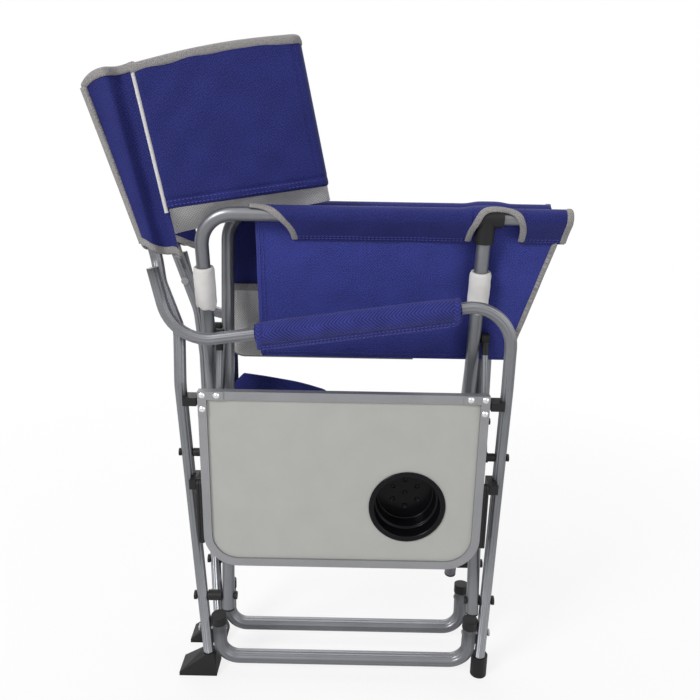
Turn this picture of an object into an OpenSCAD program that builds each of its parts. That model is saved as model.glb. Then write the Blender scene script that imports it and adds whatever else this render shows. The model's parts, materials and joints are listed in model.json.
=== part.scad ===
// Folding director chair with a drop-leaf side table and a storage pouch, shown folded as it stands.
// +Z is up, +X is the front of the chair, -Y is the side that carries the table. Millimetres.

/* [Fold] */
// Spacing of the two side frames at their pivots when folded
fold_gap = 100; // [96:1:110]
// Height of the scissor pivots above the floor
pivot_z = 145; // [138:1:155]
// Length of a scissor leg from its pivot to the seat rail
scissor_len = 595; // [585:1:610]
// Angle that a scissor leg turns from folded to open
fold_travel = 48; // [44:0.5:50]
// Distance from the middle of the legs to the middle of the folded chair
frame_shift = 40; // [30:1:48]

/* [Side frames] */
// Distance of the front leg ahead of the table
hinge_reach = 25; // [22:1:30]
// Rear leg at the pivot height, distance behind the leg datum
rear_leg_x = 230; // [227:1:236]
// Backward lean of the rear leg in degrees
rear_rake = 1.57; // [0:0.1:2]
// Distance that the armrest stands outside the pivots
arm_out = 28; // [26:1:34]
// Height where the legs turn upright
leg_knee_z = 500; // [494:1:510]
// Outer diameter of the leg and armrest tube
leg_d = 17; // [15:0.5:18]
// Wall of every tube
tube_wall = 1.2; // [0.8:0.1:1.6]
// Height of the armrest over the leg datum
arm_z = 594; // [585:1:605]
// Upward slope of the armrest to the front in degrees
arm_slope = 8.2; // [5:0.1:9]
// Bend radius at the front of the armrest
arm_front_r = 55; // [45:1:60]
// Bend radius at the rear of the armrest
arm_rear_r = 60; // [50:1:65]
// Tilt of the back posts in degrees
post_tilt = 12; // [9:0.1:14]
// Post position behind the leg datum at the foot of the back
post_x = 272; // [268:1:280]
// Distance of the foot of the back below the seat rails
post_drop = 51.5; // [46:0.5:56]
// Height where the rear leg turns back towards the post
rear_bend_z = 575; // [560:1:578]
// Distance of the armrest tube's rear end below the foot of the back
arm_end_drop = 18; // [16:1:30]
// Outer diameter of the bottom rail
stretcher_d = 22; // [20:0.5:22]
// Height of the bottom rail
stretcher_z = 25; // [22:1:32]
// Height of the ends of the bottom rail
stretcher_top_z = 104; // [98:1:108]
// Bend radius of the bottom rail
stretcher_r = 30; // [24:1:36]
// Length of the rear foot sole
rear_foot_len = 60; // [54:1:66]
// Width of the rear foot sole
rear_foot_w = 40; // [34:1:44]
// Height of the feet
foot_h = 36; // [30:1:40]
// Thickness of the foot soles
sole_t = 6; // [5:0.5:8]
// Vertical thickness of the armrest padding
pad_d = 31; // [28:0.5:34]
// Distance that the padding is set outward on its tube
pad_out = 3.5; // [2:0.1:4]
// Rear end of the armrest padding behind the leg datum
pad_rear = 134; // [120:1:140]
// Distance of the armrest padding behind the front leg
pad_clear = 71; // [66:1:81]

/* [Scissor frames] */
// Outer diameter of the scissor legs and seat rails
loop_d = 19; // [18:0.5:19.5]
// Gap between the front leg and the scissor leg beside it
loop_gap = 2; // [1:0.5:4]
// Sideways step between the two scissor frames
loop_step = 20; // [20:0.1:21]
// Rear leg of the first scissor frame behind the leg datum
loop_rear_x = 190; // [189:0.5:191]
// Length of a scissor leg below its pivot
loop_tail = 20; // [17:0.5:22]
// Bend radius of the seat rail at the rear
rail_r = 45; // [36:1:52]
// Reach of the seat rails ahead of the front leg
rail_reach = 69; // [63:1:75]
// Diameter of the bolt heads
bolt_head_d = 14; // [12:1:15]
// Height of the bolt heads
bolt_head_h = 4; // [3:0.5:5]
// Diameter of the pivot bolts
bolt_d = 8; // [7:0.5:9]
// Diameter of the rivets
rivet_d = 6; // [5:0.5:6]
// Running clearance on the diameter of a pin
pin_clear = 0.1; // [0.06:0.01:0.16]
// Gap between pieces that sit beside each other
seat_gap = 0.3; // [0.2:0.05:0.4]
// Outer diameter of the elbows under the seat rails
elbow_d = 27; // [25:0.5:27]
// Length of an elbow along the rail
elbow_len = 44; // [38:1:46]
// Length of an elbow along the leg
elbow_drop = 34; // [30:1:46]
// Outer diameter of the foam sleeves
foam_d = 30; // [26:0.5:31]
// Height of the foam sleeves
foam_h = 62; // [50:1:70]
// Distance of the foam sleeves below the seat rail
foam_drop = 75; // [66:1:82]

/* [Links] */
// Height of the link pivots on the legs
link_z = 396; // [390:1:402]
// Outer diameter of a link tube
link_d = 11; // [10:0.5:11.5]
// Outer diameter of a link end
link_end_d = 15; // [14:0.5:16]

/* [Seat] */
// Angle of the folded seat halves in degrees
seat_hang = 8; // [7.5:0.1:8.2]
// Distance of the seat cloth from the rail centre
seat_offset = 13; // [12.5:0.1:13.5]
// Thickness of the padded seat cloth
seat_t = 8; // [6:0.5:8.5]
// Length of a padded seat half
seat_len = 211; // [200:0.5:213]
// Rear edge of the seat behind the leg datum
seat_rear = 138; // [128:1:144]
// Outer diameter of the cloth sleeve on a seat rail
sleeve_d = 23; // [22:0.5:23]
// Thickness of plain cloth
cloth_t = 2; // [1.5:0.1:2.4]
// Angle of the tucked middle of the seat in degrees
tuck_angle = 181; // [180:0.1:182]
// Slant of the front edge of the seat
flap_slant = 36; // [28:1:42]

/* [Back] */
// Height of the back cloth along the posts
back_h = 228; // [215:1:235]
// Thickness of the padded back
back_t = 6; // [4:0.5:7]
// Width of the flat sleeves on the back posts
back_sleeve_w = 90; // [80:1:96]
// Wall of the flat sleeves
back_sleeve_t = 2.7; // [2:0.1:3]
// Rise of the lower edge of the back beside the sleeve
back_rise = 64; // [60:1:70]
// Rise of the lower edge of the back at the crease
crease_rise = 22; // [20:1:30]

/* [Pouch] */
// Rear edge of the pouch behind the leg datum
pouch_rear = 196; // [186:1:197]
// Length of the pouch
pouch_len = 288; // [270:1:300]
// Drop of the pouch below the seat rail
pouch_drop = 228; // [215:1:240]
// Height of the mesh pocket
pocket_h = 113; // [100:1:125]
// Length of the slack fold that hangs under the pouch
slack_len = 153; // [140:1:165]
// Height of the slack fold
slack_h = 37; // [30:1:45]
// Drop of the slack fold under the pouch
slack_drop = 66; // [58:1:70]
// Thickness of the slack fold
slack_t = 8; // [6:0.5:8]
// Width of the strap that carries the slack fold
strap_w = 12; // [10:1:16]
// Depth of the mesh pocket
pocket_depth = 7; // [6.5:0.5:8]

/* [Side table] */
// Length of the table
table_len = 400; // [398:0.5:401]
// Width of the table
table_w = 270; // [262:1:276]
// Rear edge of the table behind the leg datum
table_rear = 214; // [213.5:0.1:214.5]
// Thickness of the table frame
table_t = 12; // [11:0.5:13]
// Width of the table frame bar
table_bar = 12; // [11:0.5:13]
// Corner radius at the free edge of the table
table_r = 50; // [44:1:56]
// Thickness of the table panel
panel_t = 6; // [4:0.5:7]
// Distance of the hinge line from the top edge of the table
hinge_in = 16; // [15:0.5:18]
// Height of the table hinge line
hinge_z = 480; // [474:1:484]
// Distance of the hinge line outside the armrest
hinge_out = 8; // [7:0.5:9]
// Outer diameter of the cup holder rim
cup_d = 110; // [104:1:114]
// Depth of the cup holder
cup_depth = 46; // [40:1:50]
// Wall of the cup holder
cup_wall = 2; // [1.6:0.1:2.4]
// Distance of the cup holder behind the front edge of the table
cup_in = 107; // [102:1:116]
// Cup holder distance below the hinge line
cup_drop = 155; // [145:1:165]
// Height of a hinge bracket
bracket_h = 12; // [11:0.5:18]
// Distance of the brace pivots below the hinge line
brace_drop = 125; // [120:1:130]
// Width of a brace link
brace_w = 14; // [12:0.5:14]
// Thickness of a brace link
brace_t = 3.2; // [2.6:0.1:3.3]
// Diameter of the brace pins
brace_pin_d = 5; // [4:0.5:6]

/* [Hidden] */
$fn = 48;
eps = 0.01;
half_gap = fold_gap / 2;
fold_angle = asin(fold_gap / scissor_len);
open_angle = fold_angle + fold_travel;
rail_z = pivot_z + scissor_len * cos(fold_angle);
open_w = scissor_len * sin(open_angle);
post_z = rail_z - post_drop;
foam_at = scissor_len - foam_drop - foam_h;
lean = arm_out / (leg_knee_z - pivot_z);
arm_y = -half_gap - arm_out;
hinge_y = arm_y - hinge_out;
leg_r = leg_d / 2;
loop_r = loop_d / 2;
// Places along the chair that follow the length of the table
table_front = table_len - table_rear;
front_leg_x = table_front + hinge_reach;
rail_front = front_leg_x + rail_reach;
pad_front = front_leg_x - pad_clear;
cup_x = table_front - cup_in;
// Scissor leg positions: frame a hangs on the near side frame, frame b on the far one
a_rear = -loop_rear_x;
a_front = front_leg_x - leg_r - loop_gap - loop_r;
b_rear = a_rear - loop_step;
b_front = a_front - loop_step;
// Link length that fits both ends of the travel
link_y = -half_gap - (link_z - pivot_z) * lean;
link_dz = pivot_z - link_z;
link_near_y = half_gap - link_y;
link_far_y = open_w - half_gap - link_y;
link_at = (link_far_y ^ 2 - link_near_y ^ 2) / (2 * (link_far_y * sin(open_angle)
    - link_dz * cos(open_angle) - link_near_y * sin(fold_angle) + link_dz * cos(fold_angle)));
link_end_y = half_gap - link_at * sin(fold_angle) - link_y;
link_end_z = pivot_z + link_at * cos(fold_angle) - link_z;
link_len = sqrt(link_end_y ^ 2 + link_end_z ^ 2);
link_lean = atan2(link_end_y, link_end_z);
link_step = loop_r + link_d / 2 + 1;
// Back: the crease of the folded back lies on the middle plane
back_half = open_w / 2;
back_fold = asin(half_gap / back_half);
back_offset = leg_r + 2 * seat_gap + back_sleeve_t + back_t / 2 + seat_gap;
// Table edge and brace slots
table_top = hinge_z + hinge_in;
brace_len = brace_drop * sin(45);
brace_z = hinge_z - brace_drop;
slot_gap = 0.6;

// Colours
steel = [0.52, 0.54, 0.57];
plastic = [0.08, 0.08, 0.09];
blue = [0.14, 0.16, 0.46];
grey = [0.64, 0.64, 0.64];
foam_white = [0.92, 0.92, 0.90];

// Positions on the near side frame
function leg_y(z) = z < leg_knee_z ? -half_gap - (z - pivot_z) * lean : arm_y;
function rear_x(z) = -rear_leg_x - (z - pivot_z) * tan(rear_rake);
function post_at(z) = -post_x - (z - post_z) * tan(post_tilt);
function arm_at(x) = arm_z + x * tan(arm_slope);
function unit(v) = v / norm(v);

// Point where the armrest line meets the post line
corner_x = (-post_x - (arm_z - post_z) * tan(post_tilt)) / (1 + tan(arm_slope) * tan(post_tilt));
post_in_low = post_z - 40;
post_in_high = post_z - 12;
post_top = post_z + (back_h - 6) * cos(post_tilt);
arm_end_z = post_z - arm_end_drop;
// The upper rear leg runs just inside the armrest tube and becomes the post
upper_y = arm_y + leg_d + 2 * seat_gap;
front_path = [
    [front_leg_x, leg_y(sole_t + 2), sole_t + 2],
    [front_leg_x, arm_y, leg_knee_z],
    [front_leg_x, arm_y, arm_at(front_leg_x)],
    [corner_x, arm_y, arm_at(corner_x)],
    [post_at(arm_end_z), arm_y, arm_end_z]
];
front_bends = [60, arm_front_r, arm_rear_r];
rear_path = [
    [rear_x(sole_t + 2), leg_y(sole_t + 2), sole_t + 2],
    [rear_x(leg_knee_z), arm_y, leg_knee_z],
    [rear_x(rear_bend_z), upper_y, rear_bend_z],
    [post_at(post_in_low), upper_y, post_in_low],
    [post_at(post_in_high), -half_gap, post_in_high],
    [post_at(post_top), -half_gap, post_top]
];
rear_bends = [45, 60, 30, 30];
// Rivet between the upper rear leg and the armrest tube
join_z = post_in_low - 18;
join_x = post_at(join_z) + 1;
stretcher_rear = rear_x(stretcher_z + 40) + leg_r + stretcher_d / 2 + 1.2;
stretcher_front = front_leg_x - leg_r - stretcher_d / 2 - 1;
stretcher_path = [
    [stretcher_rear, leg_y(stretcher_top_z), stretcher_top_z],
    [stretcher_rear, leg_y(stretcher_z), stretcher_z],
    [stretcher_front, leg_y(stretcher_z), stretcher_z],
    [stretcher_front, leg_y(stretcher_top_z), stretcher_top_z]
];
stretcher_rivet_z = stretcher_top_z - 22;

// The object stands with its middle over the origin
module placed() {
    translate([frame_shift, 0, 0]) children();
}

module far_side() {
    mirror([0, 1, 0]) children();
}

module ring(r, bore) {
    difference() {
        circle(r = r);
        if (bore > 0) circle(r = bore);
    }
}

// A straight round bar, or a tube where bore is more than 0
module bar(p, q, r, bore = 0) {
    v = q - p;
    translate(p)
        rotate([0, acos(v[2] / norm(v)), atan2(v[1], v[0])])
            linear_extrude(norm(v)) ring(r, bore);
}

// A round bend of radius bend at the corner c, entered along u and left along w
module elbow_bend(c, u, w, bend, r, bore) {
    turn = acos(u * w);
    k = unit(cross(u, w));
    start = c - u * bend * tan(turn / 2);
    n = cross(k, u);
    o = start + n * bend;
    multmatrix([[-n[0], u[0], k[0], o[0]], [-n[1], u[1], k[1], o[1]], [-n[2], u[2], k[2], o[2]]])
        rotate_extrude(angle = turn) translate([bend, 0]) ring(r, bore);
}

// A bent tube along a path of corner points, each inner corner with its own bend radius
module bent_tube(path, bends, r, bore) {
    last = len(path) - 1;
    dirs = [for (i = [0 : last - 1]) unit(path[i + 1] - path[i])];
    cut = [for (i = [0 : last]) i == 0 || i == last ? 0
        : bends[i - 1] * tan(acos(dirs[i - 1] * dirs[i]) / 2)];
    for (i = [0 : last - 1])
        bar(path[i] + dirs[i] * cut[i], path[i + 1] - dirs[i] * cut[i + 1], r, bore);
    for (i = [1 : last - 1])
        elbow_bend(path[i], dirs[i - 1], dirs[i], bends[i - 1], r, bore);
}

// A tube swept along a path that turns in more than one plane, as rings of points joined by triangles
tube_sides = 20;
bend_step = 12;
function arc_ring(c, u, w, bend, a) =
    let (turn = acos(u * w), k = unit(cross(u, w)), n = cross(k, u),
        o = c - u * bend * tan(turn / 2) + n * bend)
    [o - n * bend * cos(a) + u * bend * sin(a), u * cos(a) + n * sin(a)];
function tube_rings(path, bends) =
    let (last = len(path) - 1, dirs = [for (i = [0 : last - 1]) unit(path[i + 1] - path[i])])
    concat([[path[0], dirs[0]]],
        [for (i = [1 : last - 1])
            let (turn = acos(dirs[i - 1] * dirs[i]), steps = ceil(turn / bend_step))
            for (j = [0 : steps]) arc_ring(path[i], dirs[i - 1], dirs[i], bends[i - 1], turn * j / steps)],
        [[path[last], dirs[last - 1]]]);
function ring_points(ring, r) =
    let (t = ring[1], side = unit([0, 1, 0] - t * t[1]), up = cross(t, side))
    [for (i = [0 : tube_sides - 1]) let (a = 360 * i / tube_sides)
        ring[0] + side * r * cos(a) + up * r * sin(a)];
function skin_faces(base, rings, flip) =
    [for (j = [0 : rings - 2], i = [0 : tube_sides - 1], half = [0, 1])
        let (i2 = (i + 1) % tube_sides, a = base + j * tube_sides, b = a + tube_sides,
            face = half == 0 ? [a + i, b + i, b + i2] : [a + i, b + i2, a + i2])
        flip ? [face[2], face[1], face[0]] : face];
function end_faces(outer, inner, flip) =
    [for (i = [0 : tube_sides - 1], half = [0, 1])
        let (i2 = (i + 1) % tube_sides,
            face = half == 0 ? [outer + i, outer + i2, inner + i2] : [outer + i, inner + i2, inner + i])
        flip ? [face[2], face[1], face[0]] : face];
module swept_tube(path, bends, r, bore) {
    rings = tube_rings(path, bends);
    count = len(rings);
    inner = count * tube_sides;
    end = (count - 1) * tube_sides;
    polyhedron(
        points = concat([for (ring = rings) each ring_points(ring, r)],
            [for (ring = rings) each ring_points(ring, bore)]),
        faces = concat(skin_faces(0, count, false), skin_faces(inner, count, true),
            end_faces(0, inner, false), end_faces(end, inner + end, true)));
}

// A cylinder along X from x0 to x1
module across(x0, x1, y, z, d) {
    translate([x0, y, z]) rotate([0, 90, 0]) cylinder(d = d, h = x1 - x0);
}

// A bolt along X with a head on the x0 side and a nut on the x1 side
module bolt(x0, x1, y, z, d, head_d, head_h) {
    across(x0, x1, y, z, d);
    across(x0 - head_h, x0, y, z, head_d);
    across(x1, x1 + head_h, y, z, head_d - 2);
}

// The join's rivet, with its head on the inner side
module join_rivet(d, head_d = 0) {
    inner = upper_y + leg_r + seat_gap;
    translate([join_x, arm_y + 1, join_z]) rotate([-90, 0, 0])
        cylinder(d = d, h = inner + 1 - arm_y);
    if (head_d > 0)
        translate([join_x, inner, join_z]) rotate([-90, 0, 0]) cylinder(d = head_d, h = 2.5);
}

// Tubes, bored for the pins that cross them
module arm_tube() {
    difference() {
        swept_tube(front_path, front_bends, leg_r, leg_r - tube_wall);
        for (hole = [[pivot_z, bolt_d], [link_z, rivet_d], [stretcher_rivet_z, rivet_d]])
            across(front_leg_x - leg_d, front_leg_x + leg_d, leg_y(hole[0]), hole[0],
                hole[1] + pin_clear);
        join_rivet(rivet_d + pin_clear);
    }
}

module rear_leg() {
    difference() {
        swept_tube(rear_path, rear_bends, leg_r, leg_r - tube_wall);
        for (hole = [[pivot_z, bolt_d], [link_z, rivet_d], [stretcher_rivet_z, rivet_d]])
            across(rear_x(hole[0]) - leg_d, rear_x(hole[0]) + leg_d, leg_y(hole[0]), hole[0],
                hole[1] + pin_clear);
        join_rivet(rivet_d + pin_clear);
    }
}

module stretcher() {
    difference() {
        swept_tube(stretcher_path, [stretcher_r, stretcher_r], stretcher_d / 2,
            stretcher_d / 2 - tube_wall);
        for (x = [stretcher_rear, stretcher_front])
            across(x - stretcher_d, x + stretcher_d, leg_y(stretcher_rivet_z), stretcher_rivet_z,
                rivet_d + pin_clear);
    }
}

module stretcher_caps() {
    cap_in = 12;
    up = unit(stretcher_path[3] - stretcher_path[2]);
    for (p = [stretcher_path[0], stretcher_path[3]])
        difference() {
            bar(p - up * cap_in, p + up * 2.5, stretcher_d / 2 + 0.9);
            bar(p - up * (cap_in + 1), p, stretcher_d / 2 + pin_clear / 2);
        }
}

module rear_foot() {
    y = leg_y(0);
    x = rear_x(foot_h);
    leg = unit(rear_path[1] - rear_path[0]);
    difference() {
        hull() {
            translate([x + 15 - rear_foot_len, y - rear_foot_w / 2, 0])
                cube([rear_foot_len, rear_foot_w, sole_t]);
            translate([x, leg_y(foot_h), foot_h - 6]) cylinder(r = leg_r + 3.5, h = 6, $fn = 32);
        }
        bar(rear_path[0] - leg * 2, rear_path[0] + leg * (foot_h + 20), leg_r + pin_clear / 2);
    }
}

module front_foot() {
    leg = unit(front_path[1] - front_path[0]);
    difference() {
        translate([front_leg_x, leg_y(foot_h / 2), 0]) cylinder(r = leg_r + 4.5, h = foot_h);
        bar(front_path[0] - leg * 2, front_path[0] + leg * (foot_h + 20), leg_r + pin_clear / 2);
    }
}

module arm_pad() {
    pad_len = (pad_front + pad_rear) / cos(arm_slope);
    translate([-pad_rear, arm_y, arm_at(-pad_rear)]) rotate([0, 90 - arm_slope, 0])
        linear_extrude(pad_len)
            difference() {
                translate([0, -pad_out]) circle(d = pad_d);
                circle(r = leg_r + pin_clear / 2);
            }
}

// Pivot bolts through the legs and the scissor legs that turn on them
module pivot_bolts(rear, front) {
    y = -half_gap;
    bolt(rear_x(pivot_z) - leg_r - seat_gap, rear + loop_r + seat_gap, y, pivot_z, bolt_d,
        bolt_head_d, bolt_head_h);
    mirror([1, 0, 0])
        bolt(-front_leg_x - leg_r - seat_gap, -front + loop_r + seat_gap, y, pivot_z, bolt_d,
            bolt_head_d, bolt_head_h);
}

module spacer(x0, x1) {
    difference() {
        across(x0 + seat_gap, x1 - seat_gap, -half_gap, pivot_z, bolt_d + 8);
        across(x0 - 1, x1 + 1, -half_gap, pivot_z, bolt_d + pin_clear);
    }
}

module spacers(rear, front) {
    spacer(rear_x(pivot_z) + leg_r, rear - loop_r);
    spacer(front + loop_r, front_leg_x - leg_r);
}

// Link pins carry a shoulder between the leg and the link
module link_pin(leg_x, link_x) {
    side = sign(link_x - leg_x);
    face = leg_x + side * (leg_r + seat_gap);
    stop = link_x - side * (link_d / 2 + seat_gap);
    outer = leg_x - side * (leg_r + seat_gap);
    tip = link_x + side * (link_d / 2 + 2);
    across(min(outer, tip), max(outer, tip), link_y, link_z, rivet_d);
    across(min(face, stop), max(face, stop), link_y, link_z, rivet_d + 6);
    across(min(outer, outer - side * 3), max(outer, outer - side * 3), link_y, link_z, rivet_d + 5);
}

module link_pins(rear, front) {
    link_pin(rear_x(link_z), rear);
    link_pin(front_leg_x, front);
}

// Rivets that hold the bottom rail to the legs
module stretcher_rivet(leg_x, rail_x) {
    side = sign(rail_x - leg_x);
    outer = leg_x - side * (leg_r + seat_gap);
    tip = rail_x + side * (stretcher_d / 2 + 1);
    y = leg_y(stretcher_rivet_z);
    across(min(outer, tip), max(outer, tip), y, stretcher_rivet_z, rivet_d);
    across(min(outer, outer - side * 2.5), max(outer, outer - side * 2.5), y, stretcher_rivet_z,
        rivet_d + 5);
}

module rivets() {
    stretcher_rivet(rear_x(stretcher_rivet_z), stretcher_rear);
    stretcher_rivet(front_leg_x, stretcher_front);
    join_rivet(rivet_d, rivet_d + 5);
}

// Black brackets on the near legs: a block that saddles the leg, with the pin that leaves it
module leg_bracket(leg_x, face_x, tip_x, z, h, pin_d) {
    back = leg_y(z) + leg_r;
    front = hinge_y - 6;
    start = leg_x + sign(face_x - leg_x) * leg_r / 2;
    difference() {
        translate([min(start, face_x), front, z - h / 2])
            cube([abs(face_x - start), back - front, h]);
        bar([leg_x, leg_y(z - h), z - h],
            [leg_x, leg_y(min(z + h, leg_knee_z)), min(z + h, leg_knee_z)], leg_r + pin_clear / 2);
    }
    inner = face_x + sign(leg_x - face_x) * 2;
    across(min(inner, tip_x), max(inner, tip_x), hinge_y, z, pin_d);
}

module table_hinges() {
    gap = 2;
    pin_in = table_bar - 1;
    color(plastic) {
        leg_bracket(rear_x(hinge_z), -table_rear - gap, -table_rear + pin_in, hinge_z, bracket_h, rivet_d);
        leg_bracket(front_leg_x, table_front + gap, table_front - pin_in, hinge_z, bracket_h, rivet_d);
    }
}

// Braces: two thin links side by side in the slot between the table and the leg bracket
slot_w = 2 * brace_t + 3 * slot_gap;
module brace_brackets() {
    pin_tip = slot_gap + brace_t + slot_gap / 3;
    color(plastic) {
        leg_bracket(rear_x(brace_z), -table_rear - slot_w, -table_rear - slot_w + pin_tip, brace_z,
            brace_w, brace_pin_d);
        leg_bracket(front_leg_x, table_front + slot_w, table_front + slot_w - pin_tip, brace_z,
            brace_w, brace_pin_d);
    }
}

module brace_link(x) {
    translate([x, hinge_y, brace_z]) rotate([90, 0, 90]) linear_extrude(brace_t)
        difference() {
            union() {
                translate([-brace_w / 2, -brace_len]) square([brace_w, brace_len]);
                circle(d = brace_w);
                translate([0, -brace_len]) circle(d = brace_w);
            }
            circle(d = brace_pin_d + pin_clear);
            translate([0, -brace_len]) circle(d = brace_pin_d + pin_clear);
        }
}

module brace_leg_links() {
    color(plastic) {
        brace_link(-table_rear - slot_w + slot_gap);
        brace_link(table_front + slot_w - slot_gap - brace_t);
    }
}

module brace_table_links() {
    color(plastic) {
        brace_link(-table_rear - slot_gap - brace_t);
        brace_link(table_front + slot_gap);
    }
}

// Scissor frames, drawn in their own plane: z runs up the leg from the bottom pivot
module in_scissor(side) {
    translate([0, side * half_gap, pivot_z]) rotate([side * fold_angle, 0, 0]) children();
}

module loop_bores(x) {
    for (z = [0, scissor_len / 2])
        across(x - loop_d, x + loop_d, 0, z, bolt_d + pin_clear);
}

module seat_tube(side, rear) {
    path = [[rear, 0, -loop_tail], [rear, 0, scissor_len], [rail_front, 0, scissor_len]];
    in_scissor(side) difference() {
        bent_tube(path, [rail_r], loop_r, loop_r - tube_wall);
        loop_bores(rear);
    }
}

front_tube_top = loop_r + 1;
module front_tube(side, front) {
    in_scissor(side) difference() {
        bar([front, 0, -loop_tail], [front, 0, scissor_len - front_tube_top], loop_r,
            loop_r - tube_wall);
        loop_bores(front);
    }
}

module elbow(side, front) {
    fit = loop_d + pin_clear;
    in_scissor(side) difference() {
        union() {
            across(front - elbow_len / 2, front + elbow_len / 2, 0, scissor_len, elbow_d);
            translate([front, 0, scissor_len - elbow_drop]) cylinder(d = elbow_d - 1, h = elbow_drop);
        }
        across(front - elbow_len, front + elbow_len, 0, scissor_len, fit);
        translate([front, 0, scissor_len - elbow_drop - 1])
            cylinder(d = fit, h = elbow_drop + 1 - front_tube_top);
    }
}

module end_caps(side, rear, front) {
    cap_t = 3;
    in_scissor(side) {
        across(rail_front, rail_front + cap_t, 0, scissor_len, loop_d);
        for (x = [rear, front])
            translate([x, 0, -loop_tail - cap_t]) cylinder(d = loop_d, h = cap_t);
    }
}

// Cloth sleeves sewn round the seat rails, one each side of the elbow
module seat_sleeve(side, front) {
    spans = [[-seat_rear, front - elbow_len / 2 - seat_gap],
        [front + elbow_len / 2 + seat_gap, rail_front]];
    in_scissor(side) for (span = spans)
        difference() {
            across(span[0], span[1], 0, scissor_len, sleeve_d);
            across(span[0] - 1, span[1] + 1, 0, scissor_len, loop_d + 2 * seat_gap);
        }
}

module foam_sleeves() {
    color(foam_white) in_scissor(1) for (x = [b_rear, b_front])
        translate([x, 0, foam_at]) difference() {
            cylinder(d = foam_d, h = foam_h);
            translate([0, 0, -1]) cylinder(d = loop_d + pin_clear, h = foam_h + 2);
        }
}

// Cross bolts where the two scissor frames pass each other
module cross_bolts() {
    color(plastic) in_scissor(-1) for (pair = [[b_rear, a_rear], [b_front, a_front]])
        bolt(pair[0] - loop_r - seat_gap, pair[1] + loop_r + seat_gap, 0, scissor_len / 2, bolt_d,
            bolt_head_d, bolt_head_h - 1);
}

// Links, drawn along z from their pivot on the leg
module in_link() {
    translate([0, link_y, link_z]) rotate([-link_lean, 0, 0]) children();
}

link_grip = 12;
module links(rear, front) {
    in_link() for (x = [rear, front])
        bar([x, 0, link_grip], [x, 0, link_len - link_grip], link_d / 2 - 1, link_d / 2 - 2);
}

module link_ends(rear, front) {
    in_link() for (x = [rear, front], end = [0, 1])
        translate([x, 0, end * link_len]) rotate([end * 180, 0, 0]) difference() {
            union() {
                across(-link_d / 2, link_d / 2, 0, 0, link_end_d);
                cylinder(d = link_d - 0.8, h = 2 * link_grip);
            }
            across(-link_d, link_d, 0, 0, rivet_d + pin_clear);
            translate([0, 0, link_grip]) cylinder(d = link_d - 2 + pin_clear, h = 2 * link_grip);
        }
}

// Seat halves hang from the rails; y is the distance from the rail towards the sitter, -z the length
module in_seat() {
    translate([0, -half_gap, rail_z]) rotate([seat_hang, 0, 0]) children();
}

seat_start = 8;
module seat_panel(front) {
    in_seat() translate([-seat_rear, seat_offset - seat_t / 2, -seat_len])
        cube([front - elbow_len / 2 - seat_gap + seat_rear, seat_t, seat_len - seat_start]);
}

module seat_flap(front) {
    inner = front + elbow_len / 2 + seat_gap;
    in_seat() translate([0, seat_offset + seat_t / 2, 0]) rotate([90, 0, 0]) linear_extrude(seat_t)
        polygon([[inner, -seat_start], [rail_front, -seat_start], [rail_front - flap_slant, -seat_len],
            [inner, -seat_len]]);
}

module seat_middle() {
    middle_len = open_w / 2 - seat_len - seat_gap;
    in_seat() translate([0, seat_offset + seat_t / 2, -seat_len]) rotate([tuck_angle - seat_hang, 0, 0])
        translate([-seat_rear, -cloth_t, -middle_len])
            cube([rail_front - flap_slant + seat_rear, cloth_t, middle_len - seat_gap]);
}

// Pouch on the outside of the far seat rail
pouch_y = half_gap + sleeve_d / 2 + 0.5;
module pouch_sheet() {
    foot = rail_z - pouch_drop;
    color(blue) translate([-pouch_rear, pouch_y, foot]) {
        cube([pouch_len, cloth_t, pouch_drop + 2]);
        translate([0, 0, -slack_drop]) cube([strap_w, cloth_t, slack_drop + eps]);
        translate([0, cloth_t, -slack_drop]) rotate([90, 0, 0]) linear_extrude(slack_t)
            polygon([[0, 0], [slack_len, 0], [strap_w + slack_h / 4, slack_h], [strap_w, slack_h], [0, strap_w]]);
    }
}

module pouch_pocket() {
    inner = cloth_t;
    color(grey) translate([-pouch_rear, pouch_y - seat_gap - pocket_depth, rail_z - pouch_drop])
        difference() {
            cube([pouch_len, pocket_depth, pocket_h]);
            translate([inner, inner, inner])
                cube([pouch_len - 2 * inner, pocket_depth, pocket_h]);
        }
}

// Back halves turn on the posts; x runs from the post to the crease, -y faces the sitter
module on_post() {
    translate([-post_x, -half_gap, post_z]) rotate([0, -post_tilt, 0]) rotate([0, 0, back_fold])
        children();
}

module stadium(w, h) {
    square([w - h, h], center = true);
    for (s = [-1, 1]) translate([s * (w - h) / 2, 0]) circle(d = h);
}

crease_gap = 1.4;
back_lap = 25;
module back_panel(start) {
    sleeve_end = back_sleeve_w / 2 + 1;
    crease = back_half - crease_gap;
    corner = start < 0 ? [[start, 0], [sleeve_end, 0]] : [];
    on_post() translate([0, -back_offset + back_t / 2, 0]) rotate([90, 0, 0]) linear_extrude(back_t)
        polygon(concat(corner, [[max(start, sleeve_end + 8), back_rise], [crease, crease_rise],
            [crease, back_h], [start, back_h], [start, back_rise]]));
}

module back_sleeve() {
    bore = leg_d + 2 * seat_gap;
    on_post() linear_extrude(back_h) difference() {
        stadium(back_sleeve_w, bore + 2 * back_sleeve_t);
        stadium(back_sleeve_w - 2 * back_sleeve_t, bore);
    }
}

// Table, drawn flat as it hangs: x along the chair, y up
module table_outline(inset) {
    r = table_r - inset;
    low = table_top - table_w + inset;
    translate([-table_rear + inset, low + r])
        square([table_len - 2 * inset, table_w - 2 * inset - r]);
    translate([-table_rear + inset + r, low]) square([table_len - 2 * inset - 2 * r, r + eps]);
    for (x = [-table_rear + inset + r, table_front - inset - r]) translate([x, low + r]) circle(r = r);
}

table_back_y = hinge_y + table_t / 2;
table_face_y = hinge_y - table_t / 2;
module upright(y, t) {
    translate([0, y, 0]) rotate([90, 0, 0]) linear_extrude(t) children();
}

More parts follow.
